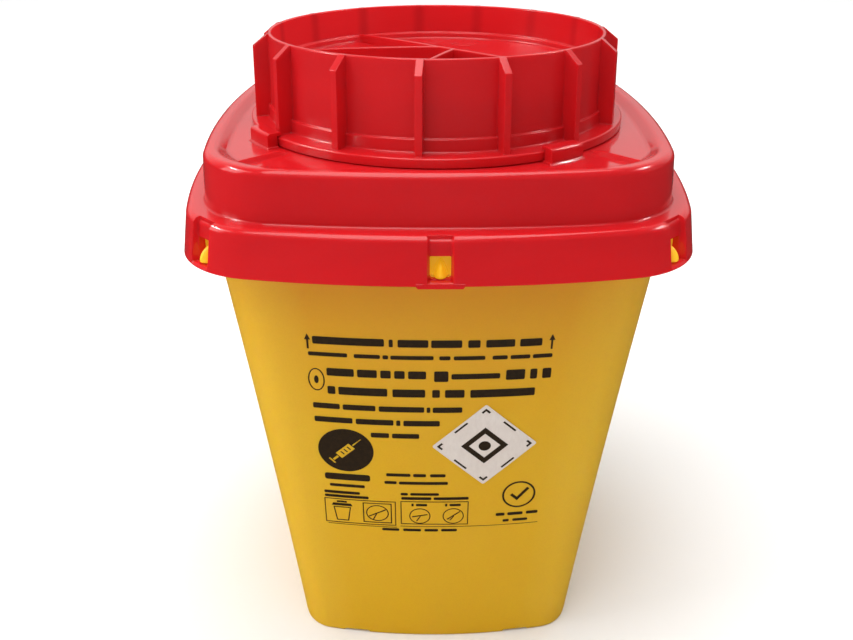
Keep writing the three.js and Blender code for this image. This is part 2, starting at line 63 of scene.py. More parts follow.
# ---------------------------------------------------------------- lid sizes
LID_T = 2.0
SKIRT_Z, SKIRT_HALF = 167.2, 86.4
LEDGE_Z = 182.0
TIER_Z, TIER_HALF = 198.3, 77.7
DECK_Z = 196.0
TURRET_R, TURRET_Z = 56.5, 212.2
CHANNEL_BACK, CHANNEL_FRONT = (6.3, 7.6), (7.6, 8.4)    # snap channel widths (side, corner)
CHANNEL_D, CHANNEL_DROP, SILL_Z = 2.5, 1.2, 168.4
WINDOW_W = (6.2, 7.3)                                   # (side, corner)
WINDOW_Z0, WINDOW_Z1 = 168.7, 175.9
TAB_W, TAB_H = 14.1, 0.55
LID_OPEN = (-83, 51)                                    # azimuths of the drop opening
LUG_AZ, LUG_ARC, LUG_TOP_Z, LUG_R = 34.0, 10.6, 200.9, 70.0
RIB_Z, RIB_R0, RIB_R = 197.4, 67.0, 87.6
RIB_RISE = 4.5                                          # length over which a rib rises

# ---------------------------------------------------------------- cap sizes
RIM_Z, RIM_R = 227.0, 58.35
STEP_Z, BAND_R = 203.5, 59.75
FLANGE_R, FLANGE_Z0, FLANGE_Z1, LIP_Z = 65.8, 197.3, 199.3, 196.25
CAP_FLOOR_Z, CAP_FLOOR_T = 214.2, 1.6
CAP_OPEN = (-84.0, 50.5)
FIN_COUNT, FIN_AZ, FIN_T = 15, -5.7, 2.3
FIN_R_TOP, FIN_R_FOOT, FIN_CORNER_Z = 63.6, 64.25, 223.1
WEB_Z, WEB_FALL = 220.5, (0.045, 0.0003)        # top at the axis; linear and square fall
WEB_X, WEB_R, WEB_T = 0.8, 56.3, 1.3
WEB_AZ = (-147.1, 59.5, -102.0)
CAP_TAB_AZ, CAP_TURN = 100, 168

# ---------------------------------------------------------------- label and print sizes
LABEL_X, LABEL_Z = 15.9, 98.6
LABEL_W, LABEL_H = 18.0, 17.8                   # half diagonals
PRINT_X = -0.5                                  # the print sits a touch left of the centre line

SIDE_STEPS, CORNER_STEPS = 56, 36               # outline segments per half side and per corner
LATHE_STEPS = 360
# eight snap places round the rim: (azimuth, 0 for a side or 1 for a corner)
SNAPS = [(45 * i, i % 2) for i in range(8)]


# ---------------------------------------------------------------- outlines
def clamp(t):
    return min(max(t, 0), 1)


def smooth(t):
    return t * t * (3 - 2 * t)


def quarter(i):
    """Matrix that turns plan points i quarter turns counter-clockwise."""
    c, s = round(cos(i * pi / 2)), round(sin(i * pi / 2))
    return np.array([[c, s], [-s, c]])


def bow_radius(half, bow):
    return (half * half + bow * bow) / (2 * bow)


def squircle(half, bow, corner):
    """A bowed square outline with round corners, counter-clockwise, as an (n, 2) array."""
    radius = bow_radius(half, bow)
    centre = half - radius
    # the corner arc, centred on the diagonal, is tangent to both side arcs
    b, c = -2 * centre, centre * centre - (radius - corner) ** 2
    mid = (-b + sqrt(b * b - 8 * c)) / 4
    end = math.atan2(mid, mid - centre)
    t1 = np.linspace(0, end, SIDE_STEPS, endpoint=False)
    t2 = np.linspace(end, pi / 2 - end, CORNER_STEPS, endpoint=False)
    t3 = np.linspace(end, 0, SIDE_STEPS, endpoint=False)
    side = np.vstack([
        np.c_[centre + radius * np.cos(t1), radius * np.sin(t1)],
        np.c_[mid + corner * np.cos(t2), mid + corner * np.sin(t2)],
        np.c_[radius * np.sin(t3), centre + radius * np.cos(t3)],
    ])
    return np.vstack([side @ quarter(i) for i in range(4)])


def body_half(z):
    t = z / SKIRT_Z
    return BASE_HALF + (MOUTH_HALF - BASE_HALF) * t - SAG * 4 * t * (1 - t)


def body_shape(half, z):
    t = clamp(z / SKIRT_Z)
    k = clamp((z - TAPER_TOP_Z) / 1.5)          # the band is a little rounder at its corners
    bow = half * (0.125 + 0.005 * t + 0.010 * k)
    return squircle(half, bow, half * (0.237 + 0.063 * t + 0.020 * k))


def lid_shape(half, k=None):
    """k is 0 for the upper tier and 1 for the skirt; by default it follows the half width."""
    if k is None:
        k = clamp((half - 79.0) / 3.2) - 0.3 * clamp((TIER_HALF - 0.8 - half) / 4.2)
    return squircle(half, half * (0.107 + 0.041 * k), half * (0.368 - 0.038 * k))


def circle_on(outline, radius):
    """A circle with its points at the outline's azimuths."""
    return outline / np.linalg.norm(outline, axis=1)[:, None] * radius


def out_at(outline, az, x):
    """How far out an outline lies along azimuth az, at x to the side of that direction."""
    c, s = cos(radians(az)), sin(radians(az))
    across = outline[:, 0] * c + outline[:, 1] * s
    out = outline[:, 0] * s - outline[:, 1] * c
    near = (out > 0) & (np.abs(across) < 25)
    across, out = across[near], out[near]
    order = np.argsort(across)
    return float(np.interp(x, across[order], out[order]))


def reach(outline, az):
    """Distance of an outline from the axis at an azimuth."""
    a = np.degrees(np.arctan2(outline[:, 0], -outline[:, 1]))
    d = np.linalg.norm(outline, axis=1)
    order = np.argsort(a)
    a, d = a[order], d[order]
    az = (az + 180) % 360 - 180
    return float(np.interp(az, np.r_[a - 360, a, a + 360], np.r_[d, d, d]))


BAND_OUTLINE = body_shape(BAND_HALF, 175)
SKIRT_FACE = lid_shape(SKIRT_HALF - 0.2, 1)
SKIRT_TOP = lid_shape(SKIRT_HALF - 1.8, 1)
SKIRT_INNER = lid_shape(SKIRT_HALF - 2.0, 1)


def fillet(points):
    """Rounds a polyline's corners. A point is (u, z) or (u, z, radius, segments)."""
    out = []
    for i, point in enumerate(points):
        radius, steps = point[2:] or (0, 0)
        p = np.array(point[:2], float)
        if i == 0 or i == len(points) - 1 or radius <= 0:
            out.append(tuple(p))
            continue
        a = np.array(points[i - 1][:2], float) - p
        b = np.array(points[i + 1][:2], float) - p
        len_a, len_b = np.linalg.norm(a), np.linalg.norm(b)
        a, b = a / len_a, b / len_b
        angle = math.acos(max(-1, min(1, float(a @ b))))
        setback = min(radius / math.tan(angle / 2), len_a * 0.499, len_b * 0.499)
        fitted = setback * math.tan(angle / 2)
        bisector = (a + b) / np.linalg.norm(a + b)
        centre = p + bisector * (fitted / sin(angle / 2))
        start, end = p + a * setback - centre, p + b * setback - centre
        a0, a1 = math.atan2(start[1], start[0]), math.atan2(end[1], end[0])
        sweep = (a1 - a0 + pi) % (2 * pi) - pi
        for k in range(steps + 1):
            t = a0 + sweep * k / steps
            out.append((centre[0] + fitted * cos(t), centre[1] + fitted * sin(t)))
    return out


def oval(cx, cy, rx, ry, n=56):
    return [(cx + rx * cos(2 * pi * i / n), cy + ry * sin(2 * pi * i / n)) for i in range(n)]


# ---------------------------------------------------------------- mesh tools
@contextmanager
def editing(ob):
    bm = bmesh.new()
    bm.from_mesh(ob.data)
    yield bm
    bm.to_mesh(ob.data)
    bm.free()


def link_object(name, mesh):
    ob = bpy.data.objects.new(name, mesh)
    bpy.context.scene.collection.objects.link(ob)
    return ob


def new_object(name, verts, faces):
    mesh = bpy.data.meshes.new(name)
    mesh.from_pydata([tuple(v) for v in (np.asarray(verts, float) * MM)], [], faces)
    mesh.validate()
    mesh.update()
    return link_object(name, mesh)


def closed_object(name, verts, faces):
    """An object welded, with its normals turned outward."""
    ob = new_object(name, verts, faces)
    with editing(ob) as bm:
        bmesh.ops.remove_doubles(bm, verts=bm.verts, dist=1e-7)
        bmesh.ops.recalc_face_normals(bm, faces=bm.faces)
        if bm.calc_volume(signed=True) < 0:
            bmesh.ops.reverse_faces(bm, faces=bm.faces)
    return ob


def quads(n, k):
    """Faces between ring k and ring k + 1, of n points each."""
    return [(k * n + i, k * n + (i + 1) % n, (k + 1) * n + (i + 1) % n, (k + 1) * n + i)
            for i in range(n)]


def loft(name, rings):
    """Skins (plan points, z or z per point) rings and closes both ends with fans."""
    n = len(rings[0][0])
    verts = [np.c_[points, np.broadcast_to(z, (n,))] for points, z in rings]
    verts += [[0, 0, float(np.mean(rings[end][1]))] for end in (0, -1)]
    faces = [f for k in range(len(rings) - 1) for f in quads(n, k)]
    first = len(rings) * n
    last_ring = first - n
    for i in range(n):
        j = (i + 1) % n
        faces.append((first, j, i))
        faces.append((first + 1, last_ring + i, last_ring + j))
    return closed_object(name, np.vstack(verts), faces)


def lathe(name, profile):
    """Turns a (radius, z) profile that starts and ends on the axis."""
    n = LATHE_STEPS
    angles = np.linspace(0, 2 * pi, n, endpoint=False)
    verts, rings, faces = [], [], []
    for r, z in profile:
        if r < 1e-9:
            rings.append([len(verts)] * n)
            verts.append((0, 0, z))
        else:
            rings.append(list(range(len(verts), len(verts) + n)))
            verts += [(r * sin(a), -r * cos(a), z) for a in angles]
    for low, high in zip(rings, rings[1:]):
        for i in range(n):
            j = (i + 1) % n
            # on the axis two corners coincide and the face is a triangle
            faces.append(tuple(dict.fromkeys((low[i], low[j], high[j], high[i]))))
    return closed_object(name, verts, faces)


def solid(name, sections, az=0.0):
    """Skins closed sections of 3D points, caps the ends and turns the whole to an azimuth."""
    n = len(sections[0])
    last = len(sections) - 1
    faces = [f for k in range(last) for f in quads(n, k)]
    faces.append(tuple(range(n - 1, -1, -1)))
    faces.append(tuple(range(last * n, last * n + n)))
    verts = np.array([p for section in sections for p in section], float)
    c, s = cos(radians(az)), sin(radians(az))
    verts[:, :2] = verts[:, :2] @ np.array([[c, s], [-s, c]])
    return closed_object(name, verts, faces)


# how each prism plane places polygon point (u, v) at depth w
PLANES = {
    "rz": lambda u, v, w: (w, -u, v),       # (radius, z), extruded sideways
    "xz": lambda u, v, w: (u, -w, v),       # (x, z), extruded along the radius
    "xy": lambda u, v, w: (u, v, w),        # plan, extruded upward
}


def prism(name, poly, lo, hi, plane, az=0.0):
    place = PLANES[plane]
    return solid(name, [[place(u, v, w) for u, v in poly] for w in (lo, hi)], az)


def sweep_arc(name, poly, az0, az1, steps):
    """Sweeps a closed (radius, z) polygon from one azimuth to another."""
    sections = []
    for k in range(steps + 1):
        a = radians(az0 + (az1 - az0) * k / steps)
        sections.append([(r * sin(a), -r * cos(a), z) for r, z in poly])
    return solid(name, sections)


def block_arc(name, r0, r1, z0, z1, az):
    """A small block from 2 degrees before an azimuth to 2 degrees after it."""
    return sweep_arc(name, [(r0, z0), (r1, z0), (r1, z1), (r0, z1)], az - 2, az + 2, 4)


def sector(span, r_in, r_out, z0, z1):
    """A prism over the ring sector between two azimuths."""
    az0, az1 = span
    poly = []
    for start, turn, r, steps in ((az0, az1 - az0, r_out, 48), (az1, az0 - az1, r_in, 12)):
        for k in range(steps + 1):
            a = radians(start + turn * k / steps)
            poly.append((r * sin(a), -r * cos(a)))
    return prism("hole", poly, z0, z1, "xy")


def upright_wall(name, points, thick, z0, top, rounding):
    """A wall along plan points; top gives its height at a distance from the axis."""
    points = np.array(points, float)
    along = np.gradient(points, axis=0)
    along /= np.linalg.norm(along, axis=1)[:, None]
    sections = []
    half = thick / 2
    for (x, y), (dx, dy) in zip(points, along):
        zt = top(float(np.hypot(x, y)))
        profile = fillet([(-half, z0), (-half, zt, rounding, 4), (half, zt, rounding, 4),
                          (half, z0)])
        sections.append([(x - dy * u, y + dx * u, z) for u, z in profile])
    return solid(name, sections)


def bevel_sharp(ob, width, segments, keep):
    """Rounds the edges sharper than 60 degrees that keep accepts."""
    with editing(ob) as bm:
        edges = [e for e in bm.edges if len(e.link_faces) == 2
                 and math.degrees(e.calc_face_angle(0)) > 60 and keep(e)]
        bmesh.ops.bevel(bm, geom=edges, offset=width * MM, offset_type="OFFSET",
                        segments=segments, profile=0.5, affect="EDGES", clamp_overlap=True)


def end_edges(z, corners):
    """Accepts edges above z that border a face with more than so many corners."""
    return lambda e: (min(v.co.z for v in e.verts) > z * MM
                      and any(len(f.verts) > corners for f in e.link_faces))


SOLVERS = bpy.types.BooleanModifier.bl_rna.properties["solver"].enum_items
# fall back where Blender lacks the manifold solver
SOLVER = "MANIFOLD" if "MANIFOLD" in [i.identifier for i in SOLVERS] else "EXACT"


def boolean(ob, tools, operation):
    """Joins or cuts ob with closed tool objects, which are used up."""
    for tool in tools:
        mod = ob.modifiers.new("b", "BOOLEAN")
        mod.operation = operation
        mod.object = tool
        mod.solver = SOLVER
        graph = bpy.context.evaluated_depsgraph_get()
        mesh = bpy.data.meshes.new_from_object(ob.evaluated_get(graph), depsgraph=graph)
        ob.modifiers.remove(mod)
        old, ob.data = ob.data, mesh
        bpy.data.meshes.remove(old)
        tool_mesh = tool.data
        bpy.data.objects.remove(tool)
        bpy.data.meshes.remove(tool_mesh)


def shade(ob, angle):
    """Cleans the mesh and shades it smooth, with edges over angle degrees sharp."""
    with editing(ob) as bm:
        bmesh.ops.remove_doubles(bm, verts=bm.verts, dist=2e-6)
        bmesh.ops.dissolve_degenerate(bm, edges=bm.edges, dist=2e-6)
        loose = [e for e in bm.edges if not e.link_faces]
        bmesh.ops.delete(bm, geom=loose, context="EDGES")
        loose = [v for v in bm.verts if not v.link_faces]
        bmesh.ops.delete(bm, geom=loose, context="VERTS")
        for f in bm.faces:
            f.smooth = True
        for e in bm.edges:
            e.smooth = not (len(e.link_faces) == 2 and e.calc_face_angle(0) > radians(angle))
    return ob


# ---------------------------------------------------------------- bucket
def bucket_profile():
    """(half width, z) from under the foot, up the outside and down the inside to the floor."""
    foot_in = BASE_HALF - FOOT_W
    foot = fillet([
        (foot_in - 1.2, FOOT_H), (foot_in - 0.5, FOOT_H, 0.5, 3), (foot_in + 0.1, 0, 0.5, 3),
        (BASE_HALF - 0.1, 0, 0.9, 8), (body_half(8), 8),
    ])[:-1]
    outside = [(body_half(z), z) for z in (3, 5, 8, 12, 18, 26, 36, 48, 60, 72, 84, 96, 108,
                                           120, 132, 144, 154, 161, 165)]
    band_in = BAND_HALF - WALL
    taper_top = body_half(TAPER_TOP_Z)
    band = fillet([
        (body_half(166.0), 166.0), (taper_top + 0.15, 166.9, 0.9, 5),
        (BAND_HALF - 0.1, 167.7, 1.2, 5), (BAND_HALF - 0.2, BAND_TOP_Z, 0.6, 4),
        (band_in + 0.1, BAND_TOP_Z, 0.6, 4), (band_in, 170.0, 1.0, 4),
        (taper_top - WALL + 0.3, 168.6, 1.2, 4), (body_half(165) - WALL, 165),
    ])
    inside = [(body_half(z) - WALL, z)
              for z in (160, 150, 135, 120, 105, 90, 75, 60, 45, 30, 18, 12)]
    floor_in = fillet([
        (body_half(9) - WALL, 9), (body_half(3) - WALL + 0.1, FLOOR_Z, 4.0, 8),
        (body_half(3) - 16, FLOOR_Z), (20, FLOOR_Z),
    ])
    return foot + outside + band + inside + floor_in


def notched(points, z):
    """Heights of a ring, lifted where the foot is notched."""
    heights = np.full(len(points), float(z))
    if z >= NOTCH_H:
        return heights
    for i in range(4):
        x, y = (points @ quarter(i).T).T
        for side in (-1, 1):
            inside = NOTCH_W / 2 - np.abs(x - side * NOTCH_X)
            lift = smooth(np.clip(inside / 0.9 + 0.5, 0, 1))
            lift[y > -BASE_HALF * 0.6] = 0
            heights = np.maximum(heights, lift * NOTCH_H)
    return heights


def snap_tooth(az, corner):
    """A rounded, bullet-shaped barb on the band."""
    r = reach(BAND_OUTLINE, az) - 0.05
    half, proud = TOOTH_W[corner] / 2, TOOTH_PROUD[corner]
    # (fraction of the height, scale of the section)
    stations = [(-0.10, 0.90), (-0.075, 0.955), (-0.03, 0.99)]
    stations += [(k / 18, 1.0) for k in range(18)]
    stations += [(0.985, 1.0), (0.998, 1.0)]
    sections = []
    for t, scale in stations:
        z = TOOTH_BASE_Z + (TOOTH_TOP_Z - TOOTH_BASE_Z) * t
        s = max(t, 0)
        w = half * scale * (1 - s) ** 0.66
        p = proud * scale * sqrt(1 - s * s)
        section = [(w * cos(a), -(r + p * sin(a) ** 0.85), z)
                   for a in (pi * k / 28 for k in range(29))]
        section += [(side * w * 0.98, -(r - 0.9), z) for side in (-1, 1)]
        sections.append(section)
    return solid("tooth", sections, az)


def build_bucket():
    rings = [(body_shape(half, z), z) for half, z in bucket_profile()]
    ob = loft("body_shell", [(points, notched(points, z)) for points, z in rings])
    boolean(ob, [snap_tooth(*snap) for snap in SNAPS], "UNION")
    return shade(ob, 40)


# ---------------------------------------------------------------- lid
UNDER_LEDGE_Z = LEDGE_Z - LID_T


def lid_shell():
    round_base = lid_shape(70, 0)
    under = TURRET_Z - 1.8
    under_deck = DECK_Z - LID_T
    centre_under = [(12, under), (34, under)]
    turret_under = fillet([
        (40, under), (TURRET_R - LID_T, under, 1.5, 4),
        (TURRET_R - LID_T + 0.2, under_deck, 1.0, 4), (TURRET_R + 3, under_deck),
    ])
    # (half width, z): under the deck and tier, down and round the skirt, back up to the deck
    square_part = fillet([
        (TIER_HALF - 12, under_deck), (TIER_HALF - 8.6, under_deck, 2.5, 4),
        (TIER_HALF - 5.0, TIER_Z - LID_T, 2.5, 5), (TIER_HALF - 2.7, TIER_Z - LID_T, 2.0, 5),
        (TIER_HALF - 2.5, 176.2, 0.4, 3), (TIER_HALF - 1.3, 176.2, 0.4, 3),
        (TIER_HALF - 1.1, UNDER_LEDGE_Z, 0.6, 3), (SKIRT_HALF - 4.3, UNDER_LEDGE_Z, 1.6, 6),
        (SKIRT_HALF - 2.0, SKIRT_Z, 0.35, 3), (SKIRT_HALF + 0.03, SKIRT_Z, 0.42, 4),
        (SKIRT_HALF - 2.05, LEDGE_Z, 2.1, 14), (TIER_HALF + 0.1, LEDGE_Z, 0.8, 6),
        (TIER_HALF - 0.8, TIER_Z, 3.4, 14), (TIER_HALF - 5.0, TIER_Z, 3.2, 8),
        (TIER_HALF - 8.2, DECK_Z, 2.6, 8), (TIER_HALF - 12, DECK_Z),
    ])
    turret = fillet([
        (TURRET_R + 4, DECK_Z), (TURRET_R + 0.1, DECK_Z, 1.0, 4),
        (TURRET_R - 0.1, TURRET_Z, 0.9, 5), (50, TURRET_Z),
    ])
    centre = [(34, TURRET_Z), (12, TURRET_Z)]
    rings = [(circle_on(round_base, r), z) for r, z in centre_under + turret_under]
    rings += [(lid_shape(half), z) for half, z in square_part]
    rings += [(circle_on(round_base, r), z) for r, z in turret + centre]
    return loft("lid_shell", rings)


def channel_head(az, corner):
    """Radius of the channel's back wall at its head."""
    return reach(SKIRT_TOP, az) - (0.95, 1.9)[corner]


def channel_boss(az, corner):
    """Material behind a snap channel, inside the skirt."""
    inner = reach(SKIRT_INNER, az)
    back = max(channel_head(az, corner) - 1.5, reach(BAND_OUTLINE, az) + 0.8)
    half = CHANNEL_FRONT[corner] / 2 + 1.3
    top = UNDER_LEDGE_Z + 0.6
    poly = [(back, SKIRT_Z + 0.9), (inner + 0.9, SKIRT_Z + 0.3), (inner - 0.6, top), (back, top)]
    return prism("boss", poly, -half, half, "rz", az)


def channel_cutter(az, corner):
    """Cuts a channel whose back wall blends into the skirt's surface at its sides."""
    skirt_r = reach(SKIRT_FACE, az)
    face, head = skirt_r - CHANNEL_D, channel_head(az, corner)
    bend = 0.95                                 # depth of the curve at the head
    top_z = LEDGE_Z - CHANNEL_DROP
    bend_z = top_z - 1.45
    # back wall (radius, z): 11 points up the wall, 8 round the bend, 3 above it
    wall = [(face, SILL_Z), (face + 0.02, SILL_Z + 0.5)]
    for t in np.linspace(0.08, 1, 10):
        wall.append((face + (head - face) * t, SILL_Z + (bend_z - SILL_Z) * t))
    for t in np.linspace(0.15, 1, 7):
        a = t * pi / 2
        wall.append((head - bend * (1 - cos(a)), bend_z + 1.45 * sin(a)))
    step = head - bend
    above = [(step, top_z + 0.12), (step, LEDGE_Z + 0.05), (step, LEDGE_Z + 2)]

    # the skirt point (half width, z) that each wall point blends into
    skin = np.array(fillet([(SKIRT_HALF + 0.05, SKIRT_Z), (SKIRT_HALF - 2.05, LEDGE_Z, 2.1, 10),
                            (TIER_HALF + 3.0, LEDGE_Z)]))
    matched = [(np.interp(z, skin[:2, 1], skin[:2, 0]), z) for _, z in wall[:11]]
    for k in range(8):
        at = 1 + k / 7 * (len(skin) - 3)
        half, z = (np.interp(at, range(len(skin)), skin[:, axis]) for axis in (0, 1))
        matched.append((half, z + 0.10))
    matched[-1] = (SKIRT_HALF - 4.0, matched[-1][1])

    back_half, front_half = CHANNEL_BACK[corner] / 2, CHANNEL_FRONT[corner] / 2
    start, spread = back_half - 0.15, front_half - back_half + 0.4
    xs = [start] + list(start + spread * np.linspace(0.08, 1, 14)) + [front_half + 0.6]
    middle = np.linspace(-back_half * 0.8, back_half * 0.8, 5)
    sections = []
    for x in [-x for x in xs[::-1]] + list(middle) + xs:
        t = (abs(x) - start) / spread
        blend = smooth(clamp(t)) + max(t - 1, 0) * 0.5
        full = min(blend, 1)
        poly = []
        for (r, z), (half, skin_z) in zip(wall, matched):
            skin_r = out_at(lid_shape(half, 1), az, x) + 0.14
            poly.append((r + (skin_r - r) * blend, z + (skin_z - z) * full))
        for k, (r, z) in enumerate(above):
            poly.append((r, z + (max(z, LEDGE_Z + 0.10 + 0.02 * k) - z) * full))
        skirt = out_at(lid_shape(SKIRT_HALF - 0.1, 1), az, x)
        sill_r = max(skirt - 0.7 * (1 - full), poly[0][0] + 0.02)
        low_z = SILL_Z - 0.8 * (1 - full)
        poly += [(skirt_r + 5, LEDGE_Z + 2), (skirt_r + 5, low_z),
                 (max(skirt + 0.15, sill_r + 0.1), low_z), (sill_r, SILL_Z)]
        sections.append([(x, -r, z) for r, z in poly])
    return solid("channel", sections, az)


def window_cutter(az, corner):
    half = WINDOW_W[corner] / 2
    poly = fillet([
        (0, WINDOW_Z0), (half, WINDOW_Z0, 0.9, 6), (half, WINDOW_Z1, 0.4, 4),
        (-half, WINDOW_Z1, 0.4, 4), (-half, WINDOW_Z0, 0.9, 6), (0, WINDOW_Z0),
    ])[:-1]
    lo, hi = reach(BAND_OUTLINE, az) + 0.4, reach(SKIRT_FACE, az) + 4
    return prism("window", poly, lo, hi, "xz", az)


def skirt_tab(az):
    """A shallow tab under the middle of a side."""
    half = TAB_W / 2
    low = SKIRT_Z - TAB_H
    poly = fillet([
        (-half - 0.1, SKIRT_Z + 1.0), (-half, SKIRT_Z), (-half + 0.5, low, 0.25, 3),
        (half - 0.5, low, 0.25, 3), (half, SKIRT_Z), (half + 0.1, SKIRT_Z + 1.0),
    ])
    lo, hi = reach(SKIRT_INNER, az) + 0.35, reach(SKIRT_FACE, az) + 0.17
    return prism("tab", poly, lo, hi, "xz", az)


def hook_lug(az):
    """A lug that hooks over the cap's flange, and the pad at its foot."""
    root, tip, root_z = FLANGE_R + 0.5, FIN_R_FOOT + 0.45, 195.4
    poly = fillet([
        (root, root_z), (LUG_R, root_z), (LUG_R - 0.1, LUG_TOP_Z, 1.1, 6),
        (tip, LUG_TOP_Z, 0.5, 4), (tip, FLANGE_Z1 + 0.4, 0.2, 2),
        (root, FLANGE_Z1 + 0.4, 0.3, 2), (root, root_z),
    ])[:-1]
    az0, az1 = az - LUG_ARC / 2, az + LUG_ARC / 2
    lug = sweep_arc("lug", poly, az0, az1, 12)
    bevel_sharp(lug, 0.85, 5, keep=end_edges(196.5, 8))
    root = FLANGE_R + 0.45
    poly = fillet([
        (root, root_z), (LUG_R + 0.55, root_z), (LUG_R + 0.55, DECK_Z + 0.1),
        (LUG_R + 0.12, DECK_Z + 0.55, 0.3, 3), (root, DECK_Z + 0.55), (root, root_z),
    ])[:-1]
    pad = sweep_arc("lug_foot", poly, az0 - 0.45, az1 + 0.45, 12)
    bevel_sharp(pad, 0.3, 3, keep=end_edges(196.05, 6))
    return [lug, pad]


def diagonal_rib(az):
    """A ridged rib that falls away towards the cap."""
    low, root_z = DECK_Z + 0.06, 195.2
    rise_end = RIB_R0 + RIB_RISE
    sections = []
    for r in [*np.linspace(RIB_R0, rise_end, 12), *np.linspace(rise_end + 1, RIB_R, 10)]:
        top = low + (RIB_Z - low) * smooth(min((r - RIB_R0) / RIB_RISE, 1))
        poly = fillet([
            (0, root_z), (1.75, root_z), (1.6, DECK_Z - 0.05), (0.35, top, 0.45, 4),
            (-0.35, top, 0.45, 4), (-1.6, DECK_Z - 0.05), (-1.75, root_z), (0, root_z),
        ])[:-1]
        sections.append([(x, -r, z) for x, z in poly])
    return solid("rib", sections, az)


def build_lid():
    ob = lid_shell()
    boolean(ob, [channel_boss(*snap) for snap in SNAPS], "UNION")
    boolean(ob, [channel_cutter(*snap) for snap in SNAPS], "DIFFERENCE")
    boolean(ob, [window_cutter(*snap) for snap in SNAPS], "DIFFERENCE")
    add = [skirt_tab(90 * i) for i in range(4)]
    for i in range(4):
        add += hook_lug(LUG_AZ + 90 * i)
    add += [diagonal_rib(45 + 90 * i) for i in range(4)]
    # one stop beyond each end of the cap tab's travel
    for az in (CAP_TAB_AZ - 4.2, CAP_TAB_AZ + CAP_TURN + 4.2):
        add.append(block_arc("stop", 60.2, 64.2, 195.2, DECK_Z + 1.0, az))
    boolean(ob, add, "UNION")
    boolean(ob, [sector(LID_OPEN, 9.5, 51.5, TURRET_Z - 4, TURRET_Z + 2)], "DIFFERENCE")
    return shade(ob, 32)


# ---------------------------------------------------------------- cap
CAP_UNDER_Z = CAP_FLOOR_Z - CAP_FLOOR_T


def cap_shell():
    # (radius, z): under the floor, down and round the flange, up to the rim and back inside
    return lathe("cap_shell", fillet([
        (0, CAP_UNDER_Z), (54, CAP_UNDER_Z), (57.1, CAP_UNDER_Z, 0.8, 4),
        (57.6, FLANGE_Z0, 0.25, 3), (64.8, FLANGE_Z0, 0.2, 2), (64.85, LIP_Z, 0.25, 3),
        (FLANGE_R, LIP_Z, 0.35, 4), (FLANGE_R, FLANGE_Z1, 0.6, 5),
        (BAND_R + 0.12, FLANGE_Z1 + 0.05, 0.7, 5), (BAND_R, STEP_Z, 0.5, 5),
        (58.95, STEP_Z + 0.05, 0.3, 3), (RIM_R, RIM_Z, 0.5, 5), (RIM_R - 1.25, RIM_Z, 0.5, 5),
        (56.75, 216.3, 0.5, 4), (55.6, 216.3, 0.4, 4), (55.35, CAP_FLOOR_Z, 0.6, 4),
        (40, CAP_FLOOR_Z), (20, CAP_FLOOR_Z), (0, CAP_FLOOR_Z),
    ]))


def grip_fin(az):
    foot_z, top_z = FLANGE_Z1 - 0.5, RIM_Z - 0.03
    poly = fillet([
        (57.95, foot_z), (FIN_R_FOOT, foot_z), (FIN_R_TOP, FIN_CORNER_Z, 0.5, 3),
        (58.62, top_z, 0.3, 3), (57.8, top_z), (57.8, RIM_Z - 1.0),
    ])
    fin = prism("fin", poly, -FIN_T / 2, FIN_T / 2, "rz", az)
    out_x, out_y = sin(radians(az)), -cos(radians(az))

    def exposed(edge):
        low = min(v.co.z for v in edge.verts)
        out = min(v.co.x * out_x + v.co.y * out_y for v in edge.verts)
        return out > 58.3 * MM and low > (FLANGE_Z1 - 0.6) * MM

    bevel_sharp(fin, 0.35, 3, keep=exposed)
    return fin


def web_top(r):
    return WEB_Z - WEB_FALL[0] * r - WEB_FALL[1] * r * r


def build_cap():
    ob = cap_shell()
    boolean(ob, [grip_fin(FIN_AZ + 360 // FIN_COUNT * i) for i in range(FIN_COUNT)], "UNION")
    # floor openings, one each side of a strip that carries the beam
    hole = sector(CAP_OPEN, 8.6, 52.4, CAP_UNDER_Z - 2, CAP_FLOOR_Z + 2)
    strip = upright_wall("foot", [(-22.5, -56.3), (-7.75, -28.5), (7, -0.7)], 4.2,
                         CAP_UNDER_Z - 3, lambda r: CAP_FLOOR_Z + 3, 0.01)
    boolean(hole, [strip], "DIFFERENCE")
    boolean(ob, [hole], "DIFFERENCE")
    # three webs from near the axis, and the beam across the openings
    paths = []
    for az in WEB_AZ:
        a = radians(az)
        paths.append([(WEB_X + r * sin(a), -r * cos(a)) for r in np.linspace(0, WEB_R, 30)])
    paths.append([(-20.8 + 26.4 * t, -53.0 + 49.7 * t) for t in np.linspace(0, 1, 24)])
    add = [upright_wall("web", path, WEB_T, CAP_FLOOR_Z - 0.5, web_top, 0.4) for path in paths]
    add.append(block_arc("tab", 60.6, 64.0, DECK_Z + 0.4, FLANGE_Z0 + 0.4, CAP_TAB_AZ))
    # faint raised discs on the floor: (x, y, radius)
    for x, y, r in ((12.1, 43.1, 5.0), (38, 8, 4.0)):
        add.append(prism("pin_mark", oval(x, y, r, r, 40), CAP_FLOOR_Z - 0.4,
                         CAP_FLOOR_Z + 0.12, "xy"))
    boolean(ob, add, "UNION")
    return shade(ob, 32)


# ---------------------------------------------------------------- sheets on the front surface
def front_y(x, z):
    """The bucket's front surface."""
    half = body_half(z)
    radius = bow_radius(half, half * (0.125 + 0.005 * z / SKIRT_Z))
    return -(half - radius + sqrt(radius * radius - x * x))


def on_front(x, z, gap):
    """A point standing gap off the front surface."""
    e = 0.05
    n = Vector(((front_y(x + e, z) - front_y(x - e, z)) / (2 * e), -1.0,
                (front_y(x, z + e) - front_y(x, z - e)) / (2 * e))).normalized()
    return (x + n.x * gap, front_y(x, z) + n.y * gap, z + n.z * gap)


